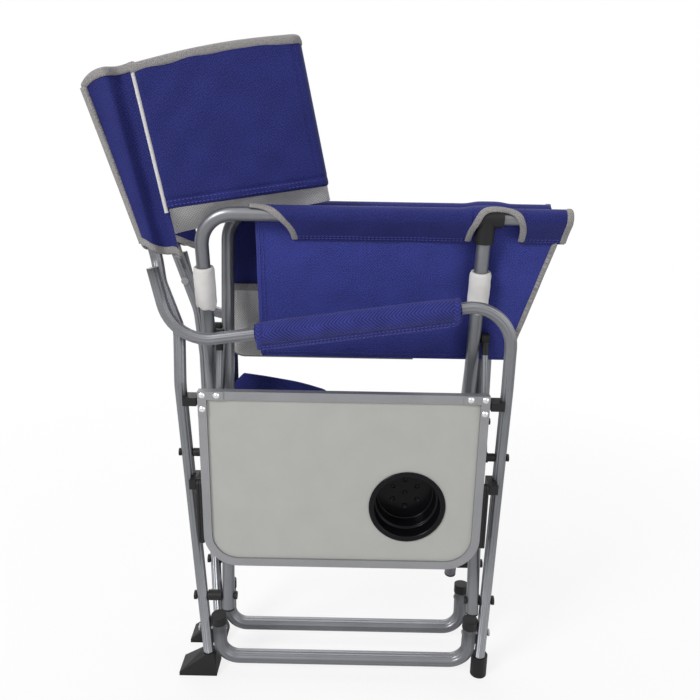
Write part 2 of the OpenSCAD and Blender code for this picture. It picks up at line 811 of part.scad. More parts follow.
module table_frame() {
    stub = slot_gap + brace_t + slot_gap / 3;
    color(grey) {
        difference() {
            upright(table_back_y, table_t) difference() {
                table_outline(0);
                table_outline(table_bar);
            }
            across(-table_rear - 1, -table_rear + table_bar, hinge_y, hinge_z, rivet_d + pin_clear);
            across(table_front - table_bar, table_front + 1, hinge_y, hinge_z, rivet_d + pin_clear);
        }
        across(-table_rear - stub, -table_rear + 1, hinge_y, brace_z, brace_pin_d);
        across(table_front - 1, table_front + stub, hinge_y, brace_z, brace_pin_d);
    }
}

cup_z = hinge_z - cup_drop;
cup_rim = 6;
module table_panel() {
    color([0.70, 0.70, 0.68]) upright(hinge_y + panel_t / 2, panel_t) difference() {
        table_outline(table_bar + seat_gap / 2);
        translate([cup_x, cup_z]) circle(d = cup_d - 2 * cup_rim + seat_gap);
    }
}

bracket_t = 1.2;
bracket_arm = 36;
module table_brackets() {
    color(steel) for (x = [-table_rear, table_front])
        translate([x, 0, 0]) mirror([x > 0 ? 1 : 0, 0, 0]) upright(table_face_y, bracket_t) {
            translate([0, table_top - table_bar]) square([bracket_arm, table_bar]);
            translate([0, table_top - bracket_arm]) square([table_bar, bracket_arm]);
        }
}

module table_rivets() {
    color([0.8, 0.8, 0.8]) for (x = [-table_rear, table_front], at = [[6, 6], [26, 6], [6, 26]])
        translate([x + (x > 0 ? -1 : 1) * at[0], table_face_y - bracket_t, table_top - at[1]])
            rotate([90, 0, 0]) intersection() {
                translate([0, 0, -4]) sphere(r = 6);
                cylinder(r = 5, h = 3);
            }
}

module cup_holder() {
    face = panel_t / 2 + seat_gap;
    rim_t = 2;
    well_r = cup_d / 2 - cup_rim;
    step = 4;
    color(plastic) translate([cup_x, hinge_y, cup_z]) rotate([90, 0, 0]) difference() {
        rotate_extrude() polygon([
            [0, face - cup_depth], [well_r - step, face - cup_depth], [well_r - step, face - cup_depth / 2],
            [well_r, face - cup_depth / 2], [well_r, face], [cup_d / 2, face], [cup_d / 2, face + rim_t],
            [well_r - cup_wall, face + rim_t], [well_r - cup_wall, face - cup_depth / 2 + cup_wall],
            [well_r - step - cup_wall, face - cup_depth / 2 + cup_wall],
            [well_r - step - cup_wall, face - cup_depth + cup_wall], [0, face - cup_depth + cup_wall]
        ]);
        for (turn = [0 : 90 : 270]) rotate(turn + 45)
            translate([well_r / 2, 0, face - cup_depth - 1]) cylinder(d = 6, h = cup_wall + 2);
    }
}

placed() color(steel) arm_tube();  // near_arm_tube
placed() color(steel) rear_leg();  // near_rear_leg
placed() color(steel) stretcher();  // near_stretcher
placed() color(plastic) stretcher_caps();  // near_stretcher_caps
placed() color(plastic) rear_foot();  // near_rear_foot
placed() color(plastic) front_foot();  // near_front_foot
placed() color(blue) arm_pad();  // near_arm_pad
placed() color(plastic) pivot_bolts(a_rear, a_front);  // near_pivot_bolts
placed() color(plastic) spacers(a_rear, a_front);  // near_spacers
placed() color(plastic)  // near_link_pins
    link_pins(b_rear + link_step, b_front + link_step);
placed() color(steel) rivets();  // near_rivets
placed() far_side() color(steel) arm_tube();  // far_arm_tube
placed() far_side() color(steel) rear_leg();  // far_rear_leg
placed() far_side() color(steel) stretcher();  // far_stretcher
placed() far_side() color(plastic) stretcher_caps();  // far_stretcher_caps
placed() far_side() color(plastic) rear_foot();  // far_rear_foot
placed() far_side() color(plastic) front_foot();  // far_front_foot
placed() far_side() color(blue) arm_pad();  // far_arm_pad
placed() far_side() color(plastic)  // far_pivot_bolts
    pivot_bolts(b_rear, b_front);
placed() far_side() color(plastic) spacers(b_rear, b_front);  // far_spacers
placed() far_side() color(plastic)  // far_link_pins
    link_pins(a_rear - link_step, a_front - link_step);
placed() far_side() color(steel) rivets();  // far_rivets
placed() table_hinges();
placed() brace_brackets();
placed() color(steel) seat_tube(-1, a_rear);  // seat_tube_a
placed() color(steel) front_tube(-1, a_front);  // front_tube_a
placed() color(plastic) elbow(-1, a_front);  // elbow_a
placed() color(plastic) end_caps(-1, a_rear, a_front);  // end_caps_a
placed() color(blue) seat_sleeve(-1, a_front);  // seat_sleeve_a
placed() cross_bolts();
placed() color(steel) seat_tube(1, b_rear);  // seat_tube_b
placed() color(steel) front_tube(1, b_front);  // front_tube_b
placed() color(plastic) elbow(1, b_front);  // elbow_b
placed() color(plastic) end_caps(1, b_rear, b_front);  // end_caps_b
placed() color(blue) seat_sleeve(1, b_front);  // seat_sleeve_b
placed() foam_sleeves();
placed() color(steel)  // near_links
    links(b_rear + link_step, b_front + link_step);
placed() color(plastic)  // near_link_ends
    link_ends(b_rear + link_step, b_front + link_step);
placed() far_side() color(steel)  // far_links
    links(a_rear - link_step, a_front - link_step);
placed() far_side() color(plastic)  // far_link_ends
    link_ends(a_rear - link_step, a_front - link_step);
placed() color(blue) seat_panel(b_front);  // seat_panel_near
placed() color(blue) seat_flap(b_front);  // seat_flap_near
placed() color(blue) seat_middle();  // seat_middle_near
placed() far_side() color(blue) seat_panel(a_front);  // seat_panel_far
placed() far_side() color(blue) seat_flap(a_front);  // seat_flap_far
placed() far_side() color(blue) seat_middle();  // seat_middle_far
placed() pouch_sheet();
placed() pouch_pocket();
placed() color(blue) back_panel(-back_sleeve_w / 2);  // back_panel_near
placed() color(blue) back_sleeve();  // back_sleeve_near
placed() far_side() color(blue)  // back_panel_far
    back_panel(back_sleeve_w / 2 - back_lap);
placed() far_side() color(blue) back_sleeve();  // back_sleeve_far
placed() table_frame();
placed() table_panel();
placed() table_brackets();
placed() table_rivets();
placed() cup_holder();
placed() brace_leg_links();
placed() brace_table_links();
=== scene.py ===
"""Looks of a folding director chair: fluted tubes, sewn cloth, padded arms, pouch and a hanging table."""
import json
import bpy
import numpy as np
from mathutils import Matrix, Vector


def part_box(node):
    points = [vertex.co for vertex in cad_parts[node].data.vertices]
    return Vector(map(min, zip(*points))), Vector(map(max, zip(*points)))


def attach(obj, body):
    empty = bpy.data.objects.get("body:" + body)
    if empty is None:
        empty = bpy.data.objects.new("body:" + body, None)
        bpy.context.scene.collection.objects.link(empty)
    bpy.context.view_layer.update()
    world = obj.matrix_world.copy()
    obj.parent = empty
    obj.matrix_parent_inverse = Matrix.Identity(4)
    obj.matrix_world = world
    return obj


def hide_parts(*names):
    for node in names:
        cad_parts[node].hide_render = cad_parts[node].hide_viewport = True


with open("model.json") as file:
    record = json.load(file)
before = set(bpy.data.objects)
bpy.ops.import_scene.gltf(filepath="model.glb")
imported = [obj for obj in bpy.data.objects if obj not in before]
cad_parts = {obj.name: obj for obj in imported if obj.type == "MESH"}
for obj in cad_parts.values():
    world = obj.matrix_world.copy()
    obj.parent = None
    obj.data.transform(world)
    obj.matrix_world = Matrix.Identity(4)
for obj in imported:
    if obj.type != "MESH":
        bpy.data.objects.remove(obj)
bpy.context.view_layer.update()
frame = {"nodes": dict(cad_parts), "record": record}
JOINTS = {j["name"]: j for j in frame["record"]["behaviour"]["joints"]}
TAU = 2*np.pi


def at(joint):
    """Rest position of a joint in metres."""
    return np.array(JOINTS[joint]["pos_m"], float)


# Places and directions, taken from the frame
DATUM_X = at("fold")[0]
HALF_GAP = at("far_pivot")[1]
PIVOT_Z = at("fold")[2]
RAIL = at("seat_near_hang")
POST = at("back_near_turn")
CREASE = at("back_crease")
HINGE = at("table")
POST_AXIS = np.array(JOINTS["back_near_turn"]["axis"], float)
POST_TILT = np.arctan2(-POST_AXIS[0], POST_AXIS[2])
ALONG, ACROSS, UP = np.eye(3)

# Sizes of the side frames, as built
ARM_OUT, KNEE_Z, REAR_BEND_Z = 0.028, 0.500, 0.575
FRONT_LEG, REAR_LEG, REAR_RAKE = 0.211, -0.230, np.radians(1.57)
LEG_R, RAIL_R, STRETCHER_R = 0.0085, 0.0095, 0.011
ARM_Z, ARM_SLOPE = 0.594, np.radians(8.2)
LEG_START, ARM_END_DROP = 0.008, 0.018
SWAY_LOW, SWAY_HIGH, POST_SHORT = 0.040, 0.012, 0.006
STRETCHER_Z, STRETCHER_TOP, STRETCHER_FIT = 0.025, 0.104, 0.040
REAR_GAP, FRONT_GAP, UPPER_GAP = 0.0012, 0.001, 0.0006
ARM_BENDS, REAR_BENDS, RAIL_BENDS = (0.06, 0.055, 0.06), (0.045, 0.06, 0.03, 0.03), (0.03, 0.03)
ARM_Y = -HALF_GAP - ARM_OUT
UPPER_Y = ARM_Y + 2*LEG_R + UPPER_GAP
LEAN = ARM_OUT/(KNEE_Z - PIVOT_Z)

# Sizes of the arm pads
PAD_REAR, PAD_FRONT = -0.134, 0.140
PAD_OUTER, PAD_INNER, PAD_TALL = 0.0185, 0.0112, 0.0160
PAD_FLAP, PAD_FLAP_WIDTH, PAD_FLAP_OUT = 0.52, 0.30, 0.004
PAD_SEAM_DROPS, PAD_SEAM_OUT, PAD_SEAM_SLOPE = (0.0165, 0.0205), 0.0118, 0.30
PAD_END, PAD_SWELL, PAD_END_POWER, PAD_HEM_LOOSE = 0.80, 0.20, 10, 1.015

# Sizes of the seat
SEAT_HANG, SEAT_TUCK = np.radians(8), np.radians(181)
SEAT_OFFSET, SEAT_LEN, SEAT_REAR = 0.013, 0.211, -0.138
SEAT_FRONT, FRONT_SLANT = 0.280, 0.058
SEAT_FOOT = SEAT_FRONT - FRONT_SLANT
SEAT_TOP, SEAT_THICK, SEAT_SOFT = 0.009, 0.005, 0.006
FRONT_TUBE = {"near": 0.171, "far": 0.191}
SEAT_SPAN, SEAT_TAPER = (0.4, 0.2), (0.4, 0.19)
LEG_BULGE, BULGE_HALF, BULGE_FROM, BULGE_RUN = 0.0095, 0.021, 0.02, 0.03
HEM_CURL, HEM_REACH, BEAD_R = 0.004, 0.030, 0.0026
HEM_GAP, HEM_ROW, HEM_ROW_ENDS = 0.001, 0.007, (0.008, 0.010)
EDGE_IN, REAR_ROWS, SEAM_LIFT, THIN_CLOTH = 0.002, (0.005, 0.010), 0.0031, 0.0018

# Sizes of the rail sleeves, with cuts as shares of the way round
SLEEVE_HEM, SLEEVE_BEND = 0.036, 0.55
SLEEVE_REAR, REAR_CUT, REAR_CUT_TOP = -0.144, 0.060, 0.26
ELBOW_CUT, ELBOW_CUT_SHIFT, ELBOW_CUT_TOP, ELBOW_CUT_POWERS = 0.036, 0.015, 0.30, (3.2, 1/2.6)
SLEEVE_SKIN, ELBOW_SWELL, ELBOW_SWELL_HALF = 0.0024, 0.0032, 0.026
SLEEVE_LIFT, SLEEVE_GIRTH = 0.0012, 0.08
SLEEVE_TIP, SLEEVE_WAVE, SLEEVE_WAVE_RATE = 0.0036, 0.0012, 61
SLEEVE_REAR_IN, SLEEVE_OVER, SLEEVE_ROWS, ROW_GAP = 0.0004, 0.001, (0.90, 0.955), 0.004
REAR_TAPE_FROM, ELBOW_TAPE_IN = 0.02, 0.9995
FRONT_TAPE_FROM, FRONT_TAPE_IN, FRONT_ROW_IN = 0.22, 0.001, 0.006

# Sizes of the back
BACK_H, BACK_OFFSET, BACK_THICK, BACK_SOFT = 0.228, 0.0151, 0.0060, 0.006
BACK_NOSE, CREASE_GAP = 0.012, 0.0048
BACK_FOOT, BACK_ARCH, BACK_TAPER = 0.06, 0.006, (0.23, 0.17)
BACK_RUN = np.linalg.norm(CREASE - POST)
BACK_FOLD = np.arcsin(HALF_GAP/BACK_RUN)
BACK_PUFF, CREASE_FADE = 0.0022, 12
SEAM_HALF, SEAM_DEPTH, SEAM_THIN, SEAM_FADE = 0.0020, 0.0010, 0.35, 40
HEM_SEAM, CREASE_SEAM = 0.012, 0.020
BACK_TAPE_REAR, BACK_TAPE_OFF, BACK_TAPE_DROP = 0.004, 0.0008, 0.003
BACK_ROWS, BACK_ROW_LIFT, BACK_ROW_SKIP = (0.004, 0.0095), 0.0034, 14
POCKET_WALL, POCKET_REAR, POCKET_FLARE, POCKET_LAP, POCKET_LEAST = 0.0020, 0.013, 0.019, 0.002, 0.0002
POCKET_DEEP, POCKET_SWELL, POCKET_SWELL_HALF = 0.0030, 0.0090, 0.013
POCKET_LEAN, POCKET_LEAN_FROM, POCKET_GIRTH = 0.0125, 0.012, 0.085
POCKET_FOOT, POCKET_SLANT, POCKET_SAG, POCKET_ROUND = 0.007, 0.5, 0.003, 0.012
PIPE_FOOT, PIPE_IN, PIPE_OFF, PIPE_PROUD = 0.046, 0.0015, 0.0160, 0.001

# Sizes of the pouch, its net, the slack fold, the foam sleeves and the cup holder
POUCH_IN, MOUTH_IN, FOOT_IN = 0.001, 0.004, 0.002
STRAP_FROM, STRAP_LAP, STRAP_IN = 0.012, 0.006, 0.006
NET_CORNER, NET_BELLY, NET_MOUTH_IN, NET_GAP, NET_THICK = 0.022, 0.0052, 0.0012, 0.0016, 0.0014
SLACK_LEN, SLACK_H, SLACK_TIP, SLACK_THICK = 0.153, 0.037, 0.004, 0.0068
FOAM_FOOT, FOAM_H, FOAM_R, FOAM_GAP, FOAM_TORN = 0.458, 0.062, 0.0148, 0.0002, 0.0035
FOAM_RAGGED, FOAM_END_IN, FOAM_END_POWER = (0.0022, 0.0012), 0.10, 10
FOAM_AT = {"foam_rear": -0.210, "foam_front": 0.171}
CUP = HINGE + np.array([0.079, 0, -0.155])
CUP_R, CUP_WELL_R, CUP_FLOOR_R, CUP_DEPTH = 0.055, 0.047, 0.043, 0.046
CUP_SKIN, CUP_EYE, CUP_OUT = 0.0019, 0.002, 0.0053
CUP_MARKS, CUP_MARK_RING, CUP_MARK_R, CUP_MARK_DEPTH, CUP_MARK_EDGE = 6, 0.021, 0.0032, 0.0013, 0.0006

# Tapes, each with its width and thickness, and ripples, each with its seed and height
TAPE = {"pad": (0.009, 0.0022), "seat": (0.010, 0.008), "sleeve": (0.0085, 0.0042), "back": (0.0115, 0.0088),
        "pocket": (0.0105, 0.0044), "pocket_edge": (0.010, 0.0066), "mouth": (0.011, 0.0028),
        "foot": (0.008, 0.0026), "strap": (0.012, 0.0016)}
RIPPLE = {"pad": (5, 0.025), "seat": (11, 0.0014), "back": (21, 0.0016), "pocket": (23, 0.0007),
          "pouch": (31, 0.0005), "slack": (37, 0.0009), "foam": (41, 0.0004)}

# Photograph's camera
PITCH, ROLL, YAW = np.radians(15.74), np.radians(0.97), np.radians(0.23)
CAMERA = np.array([DATUM_X - 0.003, -0.9605, 0.803])
FOCAL_PX, FRAME_PX, SENSOR_MM = 675.5, 700, 36.0

# Lamps, each with its place, width and power
LAMPS = {"key": ((-1.9, -2.0, 2.4), 1.0, 68.0), "fill": ((2.2, -1.8, 1.4), 1.8, 15.0),
         "top": ((0.2, 0.6, 2.8), 2.0, 26.0), "rear": ((-0.6, 2.4, 1.6), 1.6, 16.0)}
LAMPS_AIM = np.array([0, 0, 0.45])


# Meshes worked out on grids
def add_mesh(name, points, faces, material, uv=None):
    """Mesh object from flat arrays of points and faces, with an optional map in metres per point."""
    mesh = bpy.data.meshes.new(name)
    mesh.from_pydata(points.tolist(), [], faces)
    mesh.polygons.foreach_set("use_smooth", np.ones(len(mesh.polygons), bool))
    if uv is not None:
        corner = np.empty(len(mesh.loops), np.int32)
        mesh.loops.foreach_get("vertex_index", corner)
        layer = mesh.uv_layers.new(name="cloth_m")
        layer.data.foreach_set("uv", uv[corner].astype(np.float32).ravel())
    mesh.materials.append(material)
    mesh.update()
    obj = bpy.data.objects.new(name, mesh)
    bpy.context.scene.collection.objects.link(obj)
    return obj


def quads(index):
    """Quads between neighbours of one or more grids of point numbers."""
    low, high = index[..., :-1, :], index[..., 1:, :]
    return joined(low[..., :-1], high[..., :-1], high[..., 1:], low[..., 1:]).reshape(-1, 4)


def unit(v):
    """Vectors scaled to length one."""
    return v/np.maximum(np.linalg.norm(v, axis=-1, keepdims=True), 1e-12)


def clamp(x):
    """Values held between nought and one."""
    return np.clip(x, 0, 1)


def grid_normals(p):
    """Normals of a grid: the cross product of its two neighbour directions."""
    return unit(np.cross(np.gradient(p, axis=0), np.gradient(p, axis=1)))


def shares(rows, columns):
    """Two grids that run from nought to one, down the rows and along the columns."""
    return np.meshgrid(np.linspace(0, 1, rows), np.linspace(0, 1, columns), indexing="ij")


def joined(*parts):
    """Arrays side by side along a new last axis."""
    return np.stack(np.broadcast_arrays(*parts), -1)


def turned(flip, *grids):
    """The grids, with their rows reversed where the faces would point inward otherwise."""
    return [g[::-1] if flip else g for g in grids]


def run_along(path):
    """Distance along a path at each of its points."""
    return np.concatenate([[0], np.cumsum(np.linalg.norm(np.diff(path, axis=0), axis=1))])


def angles(count):
    """Evenly spaced angles of a full turn."""
    return np.linspace(0, TAU, count, endpoint=False)


def circle(radius, points=12):
    """Round profile of evenly spaced points."""
    a = angles(points)
    return joined(np.cos(a), np.sin(a))*radius


def numbered(points):
    """Numbers of a grid's points, and the same closed round by its first column."""
    index = np.arange(points.shape[0]*points.shape[1]).reshape(points.shape[:2])
    return index, np.hstack([index, index[:, :1]])


def hollow(layers):
    """Points and faces of a tube with a wall: the outer rings up, the inner rings down, closed all round."""
    points = np.concatenate([layers[0], layers[1][::-1]], 0)
    closed = numbered(points)[1]
    return points.reshape(-1, 3), quads(np.vstack([closed, closed[:1]]))


def slab(name, p, thick, material, uv):
    """Closed sheet: the grid moved half the thickness to each side, with a rim all round."""
    n = grid_normals(p)
    half = np.broadcast_to(thick, p.shape[:2])[..., None]/2
    f = numbered(p)[0]
    b = f + f.size
    rims = []
    for edge_f, edge_b in ((f[0], b[0]), (b[-1], f[-1]), (b[:, 0], f[:, 0]), (f[:, -1], b[:, -1])):
        rims.append(joined(edge_f[:-1], edge_f[1:], edge_b[1:], edge_b[:-1]))
    faces = np.vstack([quads(f), quads(b)[:, ::-1], *rims])
    points = np.vstack([(p + n*half).reshape(-1, 3), (p - n*half).reshape(-1, 3)])
    return add_mesh(name, points, faces.tolist(), material, np.vstack([uv.reshape(-1, 2)]*2))


def edge_taper(u, v, width_u, width_v, soft):
    """Share of full thickness: a quarter round over the last stretch before each edge."""
    least = 0.25
    near = np.minimum(np.minimum(u, 1 - u)*width_u, np.minimum(v, 1 - v)*width_v)
    s = clamp(near/soft)
    return least + (1 - least)*np.sqrt(1 - (1 - s)**2)


def loft(name, centres, tangents, profile, material):
    """Closed profile carried along a path: each ring is the profile laid square to the tangent."""
    side = unit(ACROSS - tangents*(tangents @ ACROSS)[:, None])
    up = np.cross(tangents, side)
    rings = centres[:, None] + side[:, None]*profile[..., 0, None] + up[:, None]*profile[..., 1, None]
    index, closed = numbered(rings)
    faces = quads(closed)[:, ::-1].tolist() + [index[0].tolist(), index[-1][::-1].tolist()]
    flat = np.broadcast_to(profile, (*index.shape, 2))
    girth = np.cumsum(np.linalg.norm(flat - np.roll(flat, 1, axis=1), axis=2), axis=1)
    uv = joined(run_along(centres)[:, None], girth).reshape(-1, 2)
    return add_mesh(name, rings.reshape(-1, 3), faces, material, uv)


def bent_path(corners, radii, steps=14):
    """Centres and tangents of a path of straight runs, with a round arc at each corner."""
    corners = np.array(corners, float)
    way = unit(np.diff(corners, axis=0))
    centres, tangents = [corners[:1]], [way[:1]]
    for c, u, w, r in zip(corners[1:-1], way[:-1], way[1:], radii):
        turn = np.arccos(np.clip(u @ w, -1, 1))
        n = unit(w - u*(u @ w))
        a = np.linspace(0, turn, steps)[:, None]
        start = c - u*r*np.tan(turn/2)
        centres.append(start + n*r*(1 - np.cos(a)) + u*r*np.sin(a))
        tangents.append(u*np.cos(a) + n*np.sin(a))
    centres.append(corners[-1:])
    tangents.append(way[-1:])
    return np.vstack(centres), np.vstack(tangents)


def fluted(radius, flutes=10, depth=0.0007, width=0.22, points=80):
    """Round profile with narrow grooves: the radius dips in a bell at each flute."""
    a = angles(points)
    off = (a*flutes/TAU + 0.5) % 1 - 0.5
    r = radius - depth*np.exp(-(off/width)**2)
    return joined(r*np.cos(a), r*np.sin(a))


def mirrored(points, side):
    """Points of the near side, or their mirror image on the far side."""
    return np.asarray(points, float)*np.array([1, -1 if side == "far" else 1, 1])


def ripple(u, v, seed, size, waves=6, least=1.0, most=4.5):
    """Soft unevenness of cloth: a few crossing waves of unlike length, from a seeded draw."""
    draw = np.random.default_rng(seed)
    out = np.zeros(np.broadcast(u, v).shape)
    for _ in range(waves):
        k = draw.uniform(least, most, 2)*draw.choice([-1, 1], 2)
        out = out + np.sin(TAU*(k[0]*u + k[1]*v) + draw.uniform(0, TAU))
    return out/waves*size


# Shader groups shared by the materials
def set_inputs(node, values):
    """Values of a node's inputs by name."""
    for name, value in values.items():
        node.inputs[name].default_value = value


def feed(tree, node, sources):
    """Links into a node's inputs by name."""
    for name, source in sources.items():
        tree.links.new(source, node.inputs[name])


def group(name, inputs, outputs):
    """Empty shader node group with named sockets of the given kinds."""
    tree = bpy.data.node_groups.new(name, "ShaderNodeTree")
    for way, sockets in (("INPUT", inputs), ("OUTPUT", outputs)):
        for socket, kind in sockets.items():
            tree.interface.new_socket(socket, in_out=way, socket_type=f"NodeSocket{kind}")
    return tree, tree.nodes.new("NodeGroupInput"), tree.nodes.new("NodeGroupOutput")


def math_node(tree, kind, a, b=None):
    """One maths node, its inputs linked or set."""
    node = tree.nodes.new("ShaderNodeMath")
    node.operation = kind
    for socket, value in zip(node.inputs, (a, b)):
        if isinstance(value, (int, float)):
            socket.default_value = value
        elif value is not None:
            tree.links.new(value, socket)
    return node.outputs[0]


def noise_node(tree, vector, scale, detail=4.0):
    """Noise factor at a scale per metre."""
    node = tree.nodes.new("ShaderNodeTexNoise")
    set_inputs(node, {"Scale": scale, "Detail": detail})
    feed(tree, node, {"Vector": vector})
    return node.outputs["Fac"]


def mix_colour(tree, factor, start):
    """Blend of a group's dark and light colours by a factor."""
    node = tree.nodes.new("ShaderNodeMix")
    node.data_type = "RGBA"
    tree.links.new(factor, node.inputs["Factor"])
    for socket, name in zip(node.inputs[6:8], ("Dark", "Light")):
        tree.links.new(start.outputs[name], socket)
    return node.outputs[2]


# Sockets of the cloth groups
CLOTH_IN = {"Vector": "Vector", "Threads": "Float", "Dark": "Color", "Light": "Color"}
CLOTH_OUT = {"Colour": "Color", "Height": "Float"}

# Scales of the cloth's noises per metre, and how far the weave, the mottle and the nap count
MOTTLE_SCALE, FLECK_SCALE, NAP_SCALE = 28.0, 700.0, 2600.0
WEAVE_SHARE, MOTTLE_SHARE, NAP_SHARE = 0.55, 0.55, 0.35
FLECKS = {"plain": 3.0, "herringbone": 0.4, "net": 0.2}
RIB_COLUMN, NET_SHARP = 6.0, 3.0


def finish_cloth(tree, start, end, weave, uneven):
    """Colour from the weave, a slow mottle and small flecks; height from the weave and a fine nap."""
    vector = start.outputs["Vector"]
    mottle = noise_node(tree, vector, MOTTLE_SCALE)
    nap = noise_node(tree, vector, NAP_SCALE, 2.0)
    fleck = math_node(tree, "SUBTRACT", noise_node(tree, vector, FLECK_SCALE, 1.0), 0.5)
    speckle = math_node(tree, "MULTIPLY", fleck, uneven)
    slow = math_node(tree, "ADD", math_node(tree, "MULTIPLY", mottle, MOTTLE_SHARE), speckle)
    blend_by = math_node(tree, "ADD", math_node(tree, "MULTIPLY", weave, WEAVE_SHARE), slow)
    colour = mix_colour(tree, blend_by, start)
    height = math_node(tree, "ADD", weave, math_node(tree, "MULTIPLY", nap, NAP_SHARE))
    feed(tree, end, {"Colour": colour, "Height": height})
    return tree


def split_threads(tree, start):
    """The two map directions counted in threads."""
    parts = tree.nodes.new("ShaderNodeSeparateXYZ")
    tree.links.new(start.outputs["Vector"], parts.inputs[0])
    return [math_node(tree, "MULTIPLY", parts.outputs[i], start.outputs["Threads"]) for i in (0, 1)]


def sine_of(tree, threads):
    """Sine that swings once over two threads."""
    return math_node(tree, "SINE", math_node(tree, "MULTIPLY", threads, TAU/2))


def as_share(tree, swing):
    """A swing about nought, moved to run from nought to one."""
    return math_node(tree, "ADD", math_node(tree, "MULTIPLY", swing, 0.5), 0.5)


def plain_weave():
    """Over and under threads: the product of two sines."""
    tree, start, end = group("plain_weave", CLOTH_IN, CLOTH_OUT)
    u, v = (sine_of(tree, t) for t in split_threads(tree, start))
    weave = as_share(tree, math_node(tree, "MULTIPLY", u, v))
    return finish_cloth(tree, start, end, weave, FLECKS["plain"])


def herringbone():
    """Slanted ribs that turn back at each column: a sine of the length plus a zigzag of the girth."""
    tree, start, end = group("herringbone", CLOTH_IN, CLOTH_OUT)
    u, v = split_threads(tree, start)
    zigzag = math_node(tree, "PINGPONG", v, RIB_COLUMN)
    weave = as_share(tree, sine_of(tree, math_node(tree, "ADD", u, zigzag)))
    return finish_cloth(tree, start, end, weave, FLECKS["herringbone"])


def net():
    """Open net: dark holes in a slanted grid of cords, the larger of two sines raised to a power."""
    tree, start, end = group("net", CLOTH_IN, CLOTH_OUT)
    u, v = split_threads(tree, start)
    slants = [sine_of(tree, math_node(tree, kind, u, v)) for kind in ("ADD", "SUBTRACT")]
    a, b = (math_node(tree, "ABSOLUTE", slant) for slant in slants)
    cord = math_node(tree, "POWER", math_node(tree, "MAXIMUM", a, b), NET_SHARP)
    return finish_cloth(tree, start, end, cord, FLECKS["net"])


def worn_grain():
    """Fine grain and slow wear for hard surfaces: colour, roughness and height from two noises."""
    wear_scale, wear_detail = 22.0, 6.0
    inputs = {"Vector": "Vector", "Grain": "Float", "Dark": "Color", "Light": "Color",
              "Rough low": "Float", "Rough high": "Float"}
    outputs = {"Colour": "Color", "Roughness": "Float", "Height": "Float"}
    tree, start, end = group("worn_grain", inputs, outputs)
    vector = start.outputs["Vector"]
    slow = noise_node(tree, vector, wear_scale, wear_detail)
    node = tree.nodes.new("ShaderNodeTexNoise")
    feed(tree, node, {"Vector": vector, "Scale": start.outputs["Grain"]})
    fine = node.outputs["Fac"]
    colour = mix_colour(tree, slow, start)
    span = math_node(tree, "SUBTRACT", start.outputs["Rough high"], start.outputs["Rough low"])
    rough = math_node(tree, "ADD", start.outputs["Rough low"], math_node(tree, "MULTIPLY", span, fine))
    feed(tree, end, {"Colour": colour, "Roughness": rough, "Height": fine})
    return tree


GROUPS = {"plain": plain_weave(), "herringbone": herringbone(), "net": net(), "grain": worn_grain()}


def rgba(r, g, b):
    """Linear colour with full cover."""
    return (r, g, b, 1.0)


def start_material(name, kind, coordinate):
    """Material with a principled shader and one placed group fed by the given coordinates."""
    mat = bpy.data.materials.new(name)
    mat.use_nodes = True
    tree = mat.node_tree
    shader = tree.nodes["Principled BSDF"]
    place = tree.nodes.new("ShaderNodeTexCoord")
    made = tree.nodes.new("ShaderNodeGroup")
    made.node_tree = GROUPS[kind]
    bump = tree.nodes.new("ShaderNodeBump")
    feed(tree, made, {"Vector": place.outputs[coordinate]})
    feed(tree, bump, {"Height": made.outputs["Height"]})
    feed(tree, shader, {"Base Color": made.outputs["Colour"], "Normal": bump.outputs["Normal"]})
    return mat, tree, shader, made, bump


def cloth(name, kind, dark, light, threads, bump_m):
    """Woven cloth on the piece's own map in metres: dull, with a faint sheen."""
    mat, _, shader, made, bump = start_material(name, kind, "UV")
    set_inputs(made, {"Threads": threads, "Dark": rgba(*dark), "Light": rgba(*light)})
    set_inputs(bump, {"Distance": bump_m, "Strength": 0.6})
    set_inputs(shader, {"Roughness": 0.8, "Specular IOR Level": 0.28})
    set_inputs(shader, {"Sheen Weight": 0.06, "Sheen Roughness": 0.5})
    return mat


def hard(name, dark, light, rough, grain, metallic=0.0, bump_m=0.00004, specular=0.5):
    """Metal or moulded plastic on object coordinates, its roughness ranging between two values."""
    mat, tree, shader, made, bump = start_material(name, "grain", "Object")
    set_inputs(made, {"Grain": grain, "Dark": rgba(*dark), "Light": rgba(*light)})
    set_inputs(made, {"Rough low": rough[0], "Rough high": rough[1]})
    set_inputs(bump, {"Distance": bump_m, "Strength": 0.5})
    set_inputs(shader, {"Metallic": metallic, "Specular IOR Level": specular})
    feed(tree, shader, {"Roughness": made.outputs["Roughness"]})
    return mat


# Cloths, with threads per metre
BLUE_CLOTH = cloth("blue_cloth", "plain", (0.003, 0.005, 0.058), (0.020, 0.026, 0.190),
                   threads=480.0, bump_m=0.0005)
# Lighter copy of the blue cloth for the seat sheet, its hem and its tuck: painted light, the brighter light
# and sheen the seat catches
BLUE_SEAT_LIT = cloth("blue_seat_cloth", "plain", (0.012, 0.016, 0.110), (0.042, 0.054, 0.320),
                  threads=480.0, bump_m=0.0005)
BLUE_RIBBED = cloth("blue_herringbone", "herringbone", (0.001, 0.002, 0.018), (0.044, 0.054, 0.34),
                    threads=400.0, bump_m=0.0016)
# Darker, duller copy of the blue cloth: painted shade, for the rear side of the pouch in shadow
SHADED_BLUE_CLOTH = cloth("navy_backing", "plain", (0.006, 0.007, 0.030), (0.014, 0.016, 0.065),
                   threads=1100.0, bump_m=0.0002)
GREY_TAPE = cloth("grey_tape", "plain", (0.17, 0.16, 0.16), (0.34, 0.325, 0.325),
                  threads=620.0, bump_m=0.0004)
PALE_TAPE = cloth("pale_piping", "plain", (0.50, 0.49, 0.48), (0.72, 0.71, 0.70),
                  threads=700.0, bump_m=0.0003)
GREY_NET = cloth("grey_net", "net", (0.17, 0.17, 0.18), (0.84, 0.83, 0.82),
                 threads=260.0, bump_m=0.0008)

